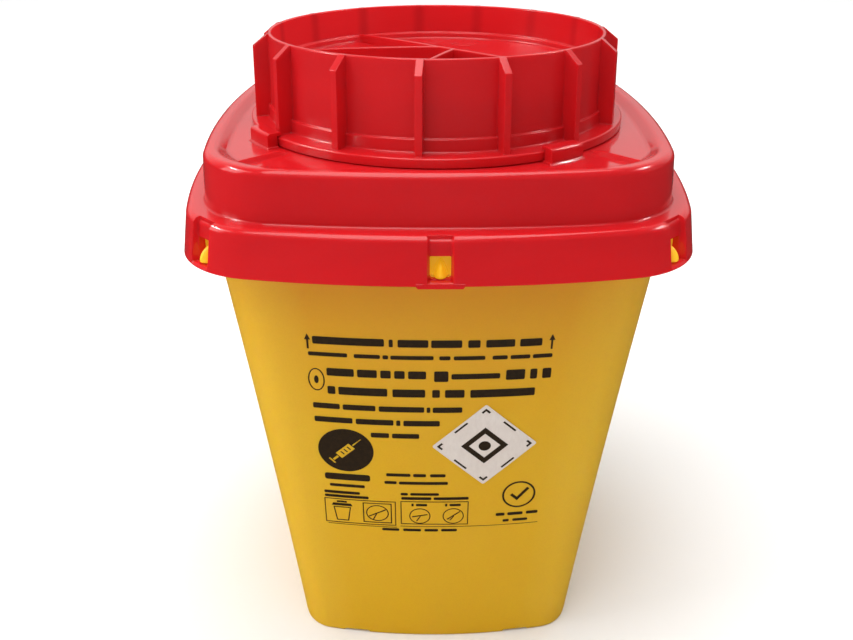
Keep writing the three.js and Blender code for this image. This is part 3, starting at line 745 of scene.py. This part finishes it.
def patch(name, shapes, gaps, cell_x, cell_z):
    """Thin closed sheets on the front surface, between two gaps off it.

    Each shape is [outer loop, hole, ...] of (x, z); cuts along a grid let it follow the curve.
    """
    bm = bmesh.new()
    for loops in shapes:
        verts = [bm.verts.new((x, 0, z)) for loop in loops for x, z in loop]
        for t in tessellate_polygon([[Vector((x, z, 0)) for x, z in loop] for loop in loops]):
            if len(set(t)) == 3:
                # the tessellator may repeat a triangle, which bmesh refuses
                try:
                    bm.faces.new([verts[i] for i in t])
                except ValueError:
                    pass
    for v in [v for v in bm.verts if not v.link_faces]:
        bm.verts.remove(v)
    xs, zs = [v.co.x for v in bm.verts], [v.co.z for v in bm.verts]
    for values, cell, normal in ((xs, cell_x, (1, 0, 0)), (zs, cell_z, (0, 0, 1))):
        at = math.floor(min(values) / cell) * cell + cell
        while at < max(values):
            bmesh.ops.bisect_plane(bm, geom=bm.verts[:] + bm.edges[:] + bm.faces[:],
                                   plane_co=[at * n for n in normal], plane_no=normal,
                                   dist=1e-5)
            at += cell
    bmesh.ops.remove_doubles(bm, verts=bm.verts, dist=1e-5)
    result = bmesh.ops.extrude_face_region(bm, geom=bm.faces[:], use_keep_orig=True)
    outer = {v for v in result["geom"] if isinstance(v, bmesh.types.BMVert)}
    for v in bm.verts:
        v.co = Vector(on_front(v.co.x, v.co.z, gaps[v in outer])) * MM
    bmesh.ops.recalc_face_normals(bm, faces=bm.faces)
    mesh = bpy.data.meshes.new(name)
    bm.to_mesh(mesh)
    bm.free()
    return link_object(name, mesh)


# Plain shapes in (x, z). Those named as whole shapes return [outer loop, hole, ...].
def rect(x0, x1, z0, z1, r):
    r = min(r, (x1 - x0) / 2 * 0.98, (z1 - z0) / 2 * 0.98)
    mid = ((x0 + x1) / 2, z0)
    return fillet([mid, (x1, z0, r, 5), (x1, z1, r, 5), (x0, z1, r, 5), (x0, z0, r, 5), mid])[:-1]


def ring(cx, cz, rx, rz, width):
    """A whole shape: an oval band."""
    return [oval(cx, cz, rx, rz), oval(cx, cz, rx - width, rz - width)]


def stroke(a, b, width):
    a, b = np.array(a, float), np.array(b, float)
    d = (b - a) / np.linalg.norm(b - a)
    n = np.array([-d[1], d[0]]) * width / 2
    return [tuple(a - n), tuple(b - n), tuple(b + n), tuple(a + n)]


def outlined(poly, width):
    """A whole shape: a convex polygon with a copy moved in by width as its hole."""
    corners = [np.array(p, float) for p in poly]
    hole = []
    for i, p in enumerate(corners):
        u, v = corners[i - 1] - p, corners[(i + 1) % len(corners)] - p
        u, v = u / np.linalg.norm(u), v / np.linalg.norm(v)
        angle = math.acos(max(-1, min(1, float(u @ v))))
        bisector = (u + v) / np.linalg.norm(u + v)
        hole.append(tuple(p + bisector * width / sin(angle / 2)))
    return [list(poly), hole]


def bars(z0, z1, lean, fill, spans, radius=0.5):
    """Whole shapes: one row of word bars that fill part of the height from z0 to z1."""
    h = (z1 - z0) * fill
    shapes = []
    for x0, x1 in spans:
        mid = (z0 + z1) / 2 + lean * (x0 + x1) / 2
        shapes.append([rect(x0, x1, mid - h / 2, mid + h / 2, min(radius, h * 0.45))])
    return shapes


# ---------------------------------------------------------------- print
# Rows of word bars: bottom, top, lean (rise per mm), fill, (x0, x1) spans, corner radius.
LEAN = -0.008
HEADING_ROWS = [
    (138.2, 144.0, LEAN, 0.5, [(-39.8, -16.9), (-15.4, -14.1), (-12.6, -2.9), (-2.0, 7.8),
                               (9.7, 13.6), (15.4, 24.6), (26.2, 33.3)]),
    (134.2, 137.0, LEAN, 0.55, [(-41.5, -28.8), (-26.7, -18.3), (-17.5, -15.7), (-15, -1.2),
                                (0.6, 4.2), (5.2, 15.3), (17.6, 22.5), (23.4, 29.8),
                                (30.6, 37)]),
]
TEXT_ROWS = [
    (125.6, 131.8, LEAN, 0.5, [(-35.9, -27), (-25.9, -19.5), (-18.4, -15), (-13.9, -10.5),
                               (-9.4, -3.6)]),
    (125.9, 130.6, LEAN, 0.9, [(-1, 3.6)]),
    (126.2, 130.3, LEAN, 0.52, [(4.6, 20.4)]),
    (125.5, 131.6, LEAN, 0.66, [(22.3, 28.5), (30.2, 32.5), (34.2, 37.1)]),
    (118.0, 124.4, LEAN, 0.5, [(-36, -33.4), (-32.4, -16.3), (-14.6, -3.9), (-1.6, 0.9),
                               (2.6, 9.0), (10.9, 32.2)]),
    (112.1, 116.6, LEAN, 0.5, [(-41.3, -32.3), (-31.3, -20.4), (-19.3, -4.2), (-3.4, -2.2),
                               (-1.4, 8.4)]),
    (106.2, 110.8, LEAN, 0.5, [(-41.2, -28.3), (-27.2, -14.5), (-13.6, -12.2), (-11.2, 1.0)]),
    (100.8, 104.9, LEAN, 0.5, [(-22.3, -16.1), (-15.1, -5.9)]),
    (83.6, 86.5, LEAN, 0.48, [(-17.5, -9), (-8.1, -3.6), (-2.2, 3.2)]),
    (80.0, 82.8, LEAN, 0.48, [(-18.2, -13.9), (-13.1, 4.1)]),
    (80.6, 85.4, 0, 0.62, [(-39.2, -23.2)], 0.9),
    (77.7, 80.1, 0, 0.55, [(-37.7, -25.2)]),
    (74.4, 76.5, 0, 0.62, [(-39.9, -27.1)]),
    (72.9, 74.2, 0, 0.95, [(-39.8, -24)]),
    (75.2, 77.1, 0, 0.62, [(-12.6, -10), (-9.2, 1.0)]),
    (73.3, 74.9, 0, 0.8, [(-12.4, -1.7), (-0.9, 11.6)]),
]
MARK_ROWS = [
    (63.9, 66.7, 0.004, 0.5, [(21.6, 24.8), (25.8, 31.4), (32.6, 36.9)]),
    (60.9, 63.3, 0.004, 0.5, [(24.2, 26.5), (27.8, 33.3)]),
]
LAST_ROW = (57.3, 59.5, 0, 0.55, [(-19.6, -13.3), (-11.9, -5.4), (-4.2, 0.8), (1.9, 7.7)])


def word_rows(rows):
    return [shape for row in rows for shape in bars(*row)]


def up_arrow(x, z):
    return [[(x - 0.32, z - 2.8), (x + 0.32, z - 2.8), (x + 0.32, z + 0.7), (x + 1.0, z + 0.7),
             (x, z + 3.0), (x - 1.0, z + 0.7), (x - 0.32, z + 0.7)]]


def emblem(cx, cz, radius):
    """A disc with a plain syringe left clear in it, and three marks on the barrel."""
    c = cos(radians(45))
    s = sin(radians(45))

    def turned(points):
        return [(cx + u * c - v * s, cz + u * s + v * c) for u, v in points]

    def box(u0, u1, half):
        return turned([(u0, -half), (u1, -half), (u1, half), (u0, half)])

    barrel, rod, thumb = box(-3.6, 3.0, 1.55), box(-6.3, -3.95, 0.45), box(-7.3, -6.6, 1.5)
    needle = turned([(3.35, -0.3), (7.6, -0.12), (7.6, 0.12), (3.35, 0.3)])
    clear = [part[::-1] for part in (barrel, needle, rod, thumb)]
    marks = [[box(u0, u1, 0.85)] for u0, u1 in ((-1.9, -1.45), (-0.3, 0.15), (1.3, 1.75))]
    return [[oval(cx, cz, radius, radius, 72), *clear]] + marks


def closing_panels():
    """Two framed panels: a bucket and a cap on the left, two dials on the right."""
    shapes = [
        outlined([(-40.1, 60.4), (-14.4, 60.4), (-14.4, 72.3), (-40.1, 72.3)], 0.32),
        outlined([(-12.7, 61.4), (11.6, 61.2), (11.6, 72.6), (-12.7, 72.7)], 0.32),
        # bucket, lid and knob
        outlined([(-36.0, 61.6), (-31.6, 61.6), (-30.6, 68.4), (-37.0, 68.4)], 0.4),
        [[(-37.6, 68.9), (-30.0, 68.9), (-30.6, 70.1), (-37.0, 70.1)]],
        [[(-35.6, 70.5), (-32.0, 70.5), (-32.0, 71.3), (-35.6, 71.3)]],
        # cap from above
        outlined([(-26.3, 61.5), (-15.9, 61.5), (-15.9, 71.2), (-26.3, 71.2)], 0.38),
        ring(-21.1, 66.3, 4.1, 3.9, 0.38),
        [stroke((-24.2, 64.6), (-18.0, 68.2), 0.42)],
        [stroke((-21.4, 66.0), (-22.6, 63.2), 0.42)],
    ]
    # dials; the second has its pointer turned further
    for x, more in ((-5.8, 0), (6.2, 1)):
        shapes += [
            ring(x, 65.5, 3.8, 3.8, 0.34),
            [stroke((x - 2.8 + more * 0.6, 65.1 - more * 1.2),
                    (x + 2.7 - more * 0.3, 66.3 + more * 1.4), 0.42)],
            [stroke((x + 0.2, 65.5), (x - 1.2, 63.0 + more * 0.4), 0.36)],
            [rect(x - 3.0, x - 2.2, 70.3, 71.6, 0.2)],
            [rect(x - 1.4, x + 2.6, 70.4, 71.5, 0.35)],
        ]
    return shapes


def build_print():
    shapes = [up_arrow(x, 140.6) for x in (-41.4, 36.5)]
    shapes += word_rows(HEADING_ROWS)
    shapes.append(ring(-39.45, 125.5, 2.75, 4.6, 0.42))
    shapes.append([oval(-39.45, 125.5, 0.75, 1.6, 24)])
    shapes += word_rows(TEXT_ROWS)
    shapes += emblem(-31.2, 95.4, 9.6)
    shapes += closing_panels()
    # a ring with a tick
    shapes.append(ring(29.5, 74.7, 6.0, 6.3, 0.7))
    shapes.append([[(26.3, 74.6), (27.1, 75.4), (28.8, 73.6), (32.3, 78.0), (33.2, 77.3),
                    (28.9, 71.9)]])
    shapes += word_rows(MARK_ROWS)
    # two thin rules
    shapes.append([stroke((-39.3, 59.65), (-14.2, 59.6), 0.22)])
    shapes.append([stroke((-12.9, 60.3), (37.2, 60.1), 0.22)])
    shapes += bars(*LAST_ROW)
    shapes = [[[(x + PRINT_X, z) for x, z in loop] for loop in shape] for shape in shapes]
    return patch("print_on_bucket", shapes, (0.008, 0.045), cell_x=2.4, cell_z=9.6)


# ---------------------------------------------------------------- diamond label
def diamond(r):
    rise = r * LABEL_H / LABEL_W
    return [(LABEL_X, LABEL_Z - rise), (LABEL_X + r, LABEL_Z),
            (LABEL_X, LABEL_Z + rise), (LABEL_X - r, LABEL_Z)]


def build_label():
    """The film, and the print that lies on it."""
    bottom, right, top, left = diamond(LABEL_W)
    mid = ((bottom[0] + right[0]) / 2, (bottom[1] + right[1]) / 2)
    corners = [(*p, 0.7, 5) for p in (right, top, left, bottom)]
    film = patch("diamond_label_film", [[fillet([mid, *corners, mid])[:-1]]], (0.02, 0.20),
                 cell_x=2.0, cell_z=2.0)

    # a diamond band round a dot, chevrons by the tips and dashes along the edges
    shapes = [[diamond(8.1), diamond(5.4)[::-1]], [oval(LABEL_X, LABEL_Z - 0.1, 2.1, 2.1, 40)]]
    chevron = ((-1.6, 14.75), (-1.05, 14.2), (0, 15.25), (1.05, 14.2), (1.6, 14.75), (0, 16.35))
    dash = stroke((-10.3, 6.1), (-6.1, 10.3), 0.72)
    for k in range(4):
        c, s = cos(k * pi / 2), sin(k * pi / 2)
        for mark in (chevron, dash):
            shapes.append([[(LABEL_X + u * c - v * s,
                             LABEL_Z + (u * s + v * c) * LABEL_H / LABEL_W) for u, v in mark]])
    return film, patch("label_print", shapes, (0.205, 0.235), cell_x=2.0, cell_z=2.0)


# ---------------------------------------------------------------- shader graphs
class Graph:
    """Builds nodes in a node tree. A value may be a number, a tuple or a socket."""

    def __init__(self, tree):
        self.tree = tree
        tree.nodes.clear()

    def feed(self, socket, value):
        if isinstance(value, bpy.types.NodeSocket):
            self.tree.links.new(value, socket)
        else:
            socket.default_value = value

    def node(self, kind, inputs=None, **props):
        node = self.tree.nodes.new(kind)
        for key, value in props.items():
            setattr(node, key, value)
        for key, value in (inputs or {}).items():
            self.feed(node.inputs[key], value)
        return node

    def xyz(self, vector):
        outputs = self.node("ShaderNodeSeparateXYZ", {0: vector}).outputs
        return outputs["X"], outputs["Y"], outputs["Z"]

    def math(self, operation, *values):
        return self.node("ShaderNodeMath", dict(enumerate(values)),
                         operation=operation).outputs[0]

    def product(self, first, *others):
        for other in others:
            first = self.math("MULTIPLY", first, other)
        return first

    def radius(self, x, y):
        total = self.math("ADD", self.product(x, x), self.product(y, y))
        return self.math("SQRT", total)

    def remap(self, value, span, to, curve="LINEAR"):
        """Maps span onto to, clamped."""
        return self.node("ShaderNodeMapRange", {
            "Value": value, "From Min": span[0], "From Max": span[1],
            "To Min": to[0], "To Max": to[1],
        }, interpolation_type=curve).outputs[0]


class Material(Graph):
    def __init__(self, name):
        self.data = bpy.data.materials.new(name)
        self.data.use_nodes = True
        super().__init__(self.data.node_tree)
        output = self.node("ShaderNodeOutputMaterial")
        self.shader = self.node("ShaderNodeBsdfPrincipled")
        self.feed(output.inputs[0], self.shader.outputs[0])
        self.coords = self.node("ShaderNodeTexCoord").outputs["Object"]

    def surface(self, **values):
        """Sets shader inputs; an underscore stands for a space."""
        for key, value in values.items():
            self.feed(self.shader.inputs[key.replace("_", " ")], value)

    def mapped(self, coords, **values):
        return self.node("ShaderNodeMapping", {"Vector": coords, **values}).outputs[0]

    def noise(self, scale, detail=3.0, rough=0.5, stretch=None, warp=0.0):
        coords = self.mapped(self.coords, Scale=stretch) if stretch else self.coords
        return self.node("ShaderNodeTexNoise", {
            "Scale": scale, "Detail": detail, "Roughness": rough, "Distortion": warp,
            "Vector": coords,
        }).outputs["Fac"]

    def ramp(self, value, stops):
        """stops: (position, colour)."""
        node = self.node("ShaderNodeValToRGB", {0: value})
        elements = node.color_ramp.elements
        while len(elements) < len(stops):
            elements.new(0.5)
        for element, (position, colour) in zip(elements, stops):
            element.position = position
            element.color = (*colour, 1)
        return node.outputs[0]

    def tint(self, base, amount, colour):
        return self.node("ShaderNodeMix", {0: amount, 6: base, 7: (*colour, 1)},
                         data_type="RGBA").outputs[2]

    def bump(self, layers, edge_radius=None):
        """layers: (height, distance in metres, strength), over softened edges if asked."""
        normal = {}
        if edge_radius:
            bevel = self.node("ShaderNodeBevel", {"Radius": edge_radius}, samples=4)
            normal = {"Normal": bevel.outputs[0]}
        for height, distance, strength in layers:
            node = self.node("ShaderNodeBump", {
                "Height": height, "Distance": distance, "Strength": strength, **normal})
            normal = {"Normal": node.outputs[0]}
        self.surface(**normal)


# ---------------------------------------------------------------- materials
def fin_shadows(mat, base):
    """Paints shade on the cap wall's inner face behind the fins, and a painted glow on it as if
    light came through it.
    """
    x, y, z = mat.xyz(mat.coords)
    az = mat.math("ARCTAN2", x, mat.product(y, -1.0))
    turns = mat.product(mat.math("SUBTRACT", az, radians(FIN_AZ)), FIN_COUNT / (2 * pi))
    phase = mat.math("FRACT", mat.math("ADD", turns, 100.5))    # 0.5 at each fin
    off_fin = mat.math("ABSOLUTE", mat.math("SUBTRACT", phase, 0.5))
    near_fin = mat.remap(off_fin, (0.03, 0.13), to=(1.0, 0.0))
    r = mat.radius(x, y)

    def zone(r_min, z_min):
        return mat.product(mat.math("GREATER_THAN", r, r_min),
                           mat.math("LESS_THAN", r, 0.0577), mat.math("GREATER_THAN", z, z_min))

    # painted shade: darker bands on the inner face behind each fin
    shadow = mat.product(near_fin, zone(r_min=0.0562, z_min=0.2166), 0.5)
    # the painted glow is stronger on the left
    glow = mat.product(zone(r_min=0.0550, z_min=0.2146),
                       mat.remap(x, (-0.055, 0.045), to=(0.17, 0.0)),
                       mat.remap(near_fin, (0.0, 1.0), to=(1.0, 0.75)))
    mat.surface(Emission_Color=(1.0, 0.040, 0.050, 1), Emission_Strength=glow)
    return mat.tint(base, shadow, (0.42, 0.008, 0.012))


def red_plastic(name, shift, rough, fins=False):
    """Glossy moulded plastic: slight flow mottling, orange peel, faint scuffs."""
    mat = Material(name)
    object_coords = mat.coords
    mat.coords = mat.mapped(object_coords, Location=(shift, shift * 0.7, -shift))
    flow = mat.noise(scale=9, rough=0.55, stretch=(1, 1, 2.2), warp=0.6)
    base = mat.ramp(flow, [(0.30, (0.560, 0.0105, 0.0150)), (0.55, (0.615, 0.0120, 0.0165)),
                           (0.75, (0.660, 0.0135, 0.0175))])
    speck = mat.noise(scale=1400, detail=1)
    base = mat.tint(base, mat.remap(speck, (0.35, 0.75), to=(0.0, 0.10)), (0.72, 0.018, 0.020))
    # on the cap: painted shade behind the fins and a painted glow on the inner wall
    if fins:
        shifted, mat.coords = mat.coords, object_coords
        base = fin_shadows(mat, base)
        mat.coords = shifted
    # scuffs: thin scratches both ways where stretched noises peak, in scattered areas
    scratch_x = mat.noise(scale=260, detail=2, rough=0.6, stretch=(0.05, 1, 1), warp=0.3)
    scratch_y = mat.noise(scale=240, detail=2, rough=0.6, stretch=(1, 0.06, 1), warp=0.3)
    scratches = mat.math("MAXIMUM", mat.remap(scratch_x, (0.70, 0.78), to=(0, 1)),
                         mat.remap(scratch_y, (0.71, 0.79), to=(0, 1)))
    areas = mat.remap(mat.noise(scale=14, detail=2), (0.48, 0.66), to=(0, 1))
    scuffs = mat.product(scratches, areas)
    blotch = mat.noise(scale=22, detail=4, rough=0.6)
    roughness = mat.remap(blotch, (0.3, 0.7), to=(rough - 0.035, rough + 0.05))
    mat.surface(
        Base_Color=base, IOR=1.49,
        Roughness=mat.math("ADD", roughness, mat.product(scuffs, 0.16)),
        Subsurface_Weight=0.35, Subsurface_Radius=(1.0, 0.06, 0.05), Subsurface_Scale=0.006,
    )
    peel = mat.noise(scale=230, detail=2, rough=0.45)
    wave = mat.noise(scale=34, detail=2)
    mat.bump([(wave, 0.0006, 0.10), (peel, 0.00012, 0.10),
              (mat.product(scuffs, -1.0), 0.00005, 0.4)], edge_radius=0.0003)
    return mat.data


def yellow_plastic(name):
    """Semi-matte, slightly translucent plastic with a fine moulded grain."""
    mat = Material(name)
    flow = mat.noise(scale=7, detail=4, rough=0.55, stretch=(1, 1, 0.45), warp=0.8)
    base = mat.ramp(flow, [(0.30, (0.765, 0.408, 0.0056)), (0.55, (0.795, 0.436, 0.0068)),
                           (0.78, (0.830, 0.464, 0.0090))])
    # upright flow lines
    lines = mat.noise(scale=60, detail=2, stretch=(1, 1, 0.06), warp=0.5)
    base = mat.tint(base, mat.remap(lines, (0.4, 0.7), to=(0.0, 0.10)), (0.78, 0.44, 0.016))
    # painted shade and painted red light from the lid: the upper wall turns darker and more
    # orange
    x, y, z = mat.xyz(mat.coords)
    upper = mat.remap(z, (0.095, 0.168), to=(0.0, 1.0))
    painted_lid_shade_and_glow = mat.product(mat.math("POWER", upper, 1.4), 0.60)
    base = mat.tint(base, painted_lid_shade_and_glow, (0.700, 0.225, 0.0070))
    # painted sheen: paler at the four corners, standing in for grazing reflections
    wave = mat.math("COSINE", mat.product(mat.math("ARCTAN2", x, y), 4.0))
    corners = mat.remap(wave, (-0.50, -0.98), to=(0.0, 0.55))
    base = mat.tint(base, corners, (0.84, 0.50, 0.030))
    speck = mat.noise(scale=1700, detail=1)
    base = mat.tint(base, mat.remap(speck, (0.4, 0.75), to=(0.0, 0.12)), (0.60, 0.28, 0.006))
    # painted glow: the snap teeth and the band behind the lid's windows glow as if lit through
    # the windows
    glow = mat.product(mat.remap(z, (0.1682, 0.1692), to=(0.0, 1.0)),
                       mat.remap(z, (0.1750, 0.1768), to=(1.0, 0.0)),
                       mat.math("GREATER_THAN", mat.radius(x, y), 0.0792), 0.42)
    blotch = mat.noise(scale=30, detail=4, rough=0.6)
    mat.surface(
        Base_Color=base, Roughness=mat.remap(blotch, (0.3, 0.7), to=(0.34, 0.44)),
        Emission_Color=(0.80, 0.50, 0.014, 1), Emission_Strength=glow,
        IOR=1.49, Specular_IOR_Level=0.32,
        Subsurface_Weight=0.35, Subsurface_Radius=(1.0, 0.55, 0.04), Subsurface_Scale=0.006,
    )
    mat.bump([(mat.noise(scale=26, detail=2), 0.0007, 0.07),
              (mat.noise(scale=1500, detail=2, rough=0.6), 0.00004, 0.30)], edge_radius=0.0003)
    return mat.data


def label_film(name):
    """Satin white film: faint fibre, a little toned, with a soft sheen."""
    mat = Material(name)
    fibre = mat.noise(scale=900, rough=0.6, stretch=(1, 1, 0.35))
    base = mat.ramp(fibre, [(0.3, (0.74, 0.655, 0.600)), (0.7, (0.81, 0.730, 0.675))])
    toning = mat.remap(mat.noise(scale=40, rough=0.6), (0.35, 0.7), to=(0, 0.35))
    mat.surface(Base_Color=mat.tint(base, toning, (0.72, 0.60, 0.52)),
                Roughness=mat.remap(fibre, (0.3, 0.7), to=(0.36, 0.46)))
    mat.bump([(fibre, 0.00003, 0.25)])
    return mat.data


def print_ink(name):
    """Thin dark ink, a touch glossy, slightly uneven in density."""
    mat = Material(name)
    density = mat.noise(scale=700, detail=4, rough=0.65)
    base = mat.ramp(density, [(0.30, (0.040, 0.020, 0.006)), (0.62, (0.026, 0.014, 0.005)),
                              (0.80, (0.070, 0.036, 0.008))])
    mat.surface(Base_Color=base, Roughness=mat.remap(density, (0.3, 0.7), to=(0.34, 0.50)),
                Specular_IOR_Level=0.3)
    mat.bump([(density, 0.00002, 0.3)])
    return mat.data


def floor_paper(name):
    """Pale paper. Far off it is lit to white; near the object it keeps a contact shadow."""
    mat = Material(name)
    tone = mat.ramp(mat.noise(scale=3), [(0.3, (0.86, 0.86, 0.855)), (0.7, (0.88, 0.88, 0.875))])
    x, y, _ = mat.xyz(mat.coords)
    lift = mat.remap(mat.radius(x, y), (0.07, 0.45), to=(0.02, 0.45))
    camera_ray = mat.node("ShaderNodeLightPath").outputs["Is Camera Ray"]
    mat.surface(Base_Color=tone, Roughness=0.9, Specular_IOR_Level=0.1,
                Emission_Color=(1, 1, 1, 1), Emission_Strength=mat.product(lift, camera_ray))
    return mat.data


def dress(ob, material):
    ob.data.materials.clear()
    ob.data.materials.append(material)
    return ob


def moulded(name, ob, material):
    """Names and dresses a moulded part and evens out its shading."""
    dress(ob, material)
    mod = ob.modifiers.new("weighted_normals", "WEIGHTED_NORMAL")
    mod.keep_sharp = True
    mod.weight = 60
    ob.name = name
    return ob


# ---------------------------------------------------------------- assembly
LID_RED = red_plastic("red_pp_lid", shift=0.0, rough=0.13)
CAP_RED = red_plastic("red_pp_cap", shift=3.1, rough=0.19, fins=True)
YELLOW = yellow_plastic("yellow_pp")
FILM = label_film("label_film")
INK = print_ink("print_ink")

bucket = moulded("bucket", build_bucket(), YELLOW)
lid = moulded("lid", build_lid(), LID_RED)
cap = moulded("cap", build_cap(), CAP_RED)
bucket_ink = dress(build_print(), INK)
film, film_ink = build_label()
dress(film, FILM)
dress(film_ink, INK)

for ob, body, slot in ((bucket, "container", "yellow_pp"), (lid, "container", "red_pp"),
                       (cap, "cap", "red_pp_cap"), (bucket_ink, "container", "print_ink"),
                       (film, "container", "label_film"), (film_ink, "container", "print_ink")):
    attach(ob, body)
REPLACED = ((bucket, "body_bucket", YELLOW), (lid, "snap_lid", LID_RED),
            (cap, "selector_cap", CAP_RED), (film, "diamond_label", FILM))
for ob, node, _ in REPLACED:
    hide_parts(node)
for _, node, material in REPLACED:
    for material_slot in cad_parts[node].material_slots:
        material_slot.material = material


# ---------------------------------------------------------------- studio
def build_floor():
    """A wide flat floor that curves up far behind."""
    half_width, bend_y, bend_r = 5000, 2500, 1500
    profile = [(-4000, 0), (-1000, 0), (0, 0), (bend_y, 0)]
    profile += [(bend_y + bend_r * sin(t), bend_r - bend_r * cos(t))
                for t in np.linspace(0.1, pi / 2, 14)]
    profile.append((4000, 4500))
    verts = [(x, y, z) for y, z in profile for x in (-half_width, half_width)]
    faces = [(2 * i, 2 * i + 1, 2 * i + 3, 2 * i + 2) for i in range(len(profile) - 1)]
    ob = new_object("studio_floor", verts, faces)
    for p in ob.data.polygons:
        p.use_smooth = True
    return ob


def build_world():
    world = bpy.data.worlds.new("studio")
    bpy.context.scene.world = world
    world.use_nodes = True
    sky = Graph(world.node_tree)
    x, y, z = sky.xyz(sky.node("ShaderNodeTexCoord").outputs["Generated"])
    # soft fill: brighter behind the object, dimmer on the camera's side and to the right
    fill = sky.math("ADD", sky.remap(y, (-1.0, 1.0), to=(0.31, 0.98)),
                    sky.remap(x, (-1.0, 1.0), to=(0.11, -0.13)))
    # what glossy plastic mirrors: a bright backdrop and a dark room in front and below
    backdrop = sky.product(
        sky.remap(z, (0.0, 0.28), to=(0.0, 1.0), curve="SMOOTHSTEP"),
        sky.remap(y, (0.1, 0.8), to=(0.05, 0.80), curve="SMOOTHSTEP"))
    mirrored = sky.math("ADD", backdrop, 0.05)
    rays = sky.node("ShaderNodeLightPath").outputs
    # float mix inputs: 0 factor, 2 first value, 3 second value
    light = sky.node("ShaderNodeMix", {0: rays["Is Glossy Ray"], 2: fill, 3: mirrored})
    # the camera itself sees plain white
    strength = sky.node("ShaderNodeMix", {0: rays["Is Camera Ray"], 2: light.outputs[0], 3: 1.0})
    background = sky.node("ShaderNodeBackground", {
        "Color": (1.0, 0.995, 0.985, 1), "Strength": strength.outputs[0]})
    sky.node("ShaderNodeOutputWorld", {0: background.outputs[0]})


def softbox(name, place, aim, size, watts):
    light = bpy.data.lights.new(name, "AREA")
    light.shape = "RECTANGLE"
    light.size, light.size_y = size
    light.energy = watts
    ob = bpy.data.objects.new(name, light)
    ob.location = place
    ob.rotation_euler = (Vector(aim) - Vector(place)).to_track_quat("-Z", "Y").to_euler()
    bpy.context.scene.collection.objects.link(ob)
    return ob


# name, place, aim, (width, height), watts
SOFTBOXES = [
    ("top", (-0.10, -0.25, 1.6), (0, -0.02, 0.15), (1.0, 1.8), 19.5),
    ("left", (-1.35, -0.25, 0.85), (0, 0, 0.13), (0.7, 1.2), 8.3),
    ("right", (1.45, -0.15, 0.8), (0, 0, 0.13), (0.6, 1.2), 0.8),
    ("front", (-0.35, -1.5, 1.35), (0, 0, 0.1), (1.3, 0.8), 1.2),
]
# thin tubes that light no matte surface and show as glints on the glossy shoulders
TUBES = [
    ("tube_left", (-1.2, 0.14, 1.33), (0, 0, 0.19), (0.7, 0.04), 9),
    ("tube_right", (1.2, 0.14, 1.33), (0, 0, 0.19), (0.7, 0.04), 9),
]
CAMERA_PLACE = (-0.00536, -0.315905, 0.27556)
CAMERA_DOWN, CAMERA_YAW = 24.77, -0.327         # degrees below level, and about z


def build_camera():
    cam = link_object("camera", bpy.data.cameras.new("camera"))
    cam.location = CAMERA_PLACE
    cam.rotation_euler = (radians(90 - CAMERA_DOWN), 0, radians(CAMERA_YAW))
    cam.data.sensor_width = 36.0
    cam.data.lens = 37.13950762
    cam.data.shift_y = -0.0468933177
    cam.data.clip_start = 0.01
    cam.data.clip_end = 50
    bpy.context.scene.camera = cam


floor = dress(build_floor(), floor_paper("floor_paper"))
floor.visible_glossy = False
build_world()
for box in SOFTBOXES:
    softbox(*box)
for tube in TUBES:
    softbox(*tube).visible_diffuse = False
build_camera()
bpy.context.scene.view_settings.view_transform = "Standard"
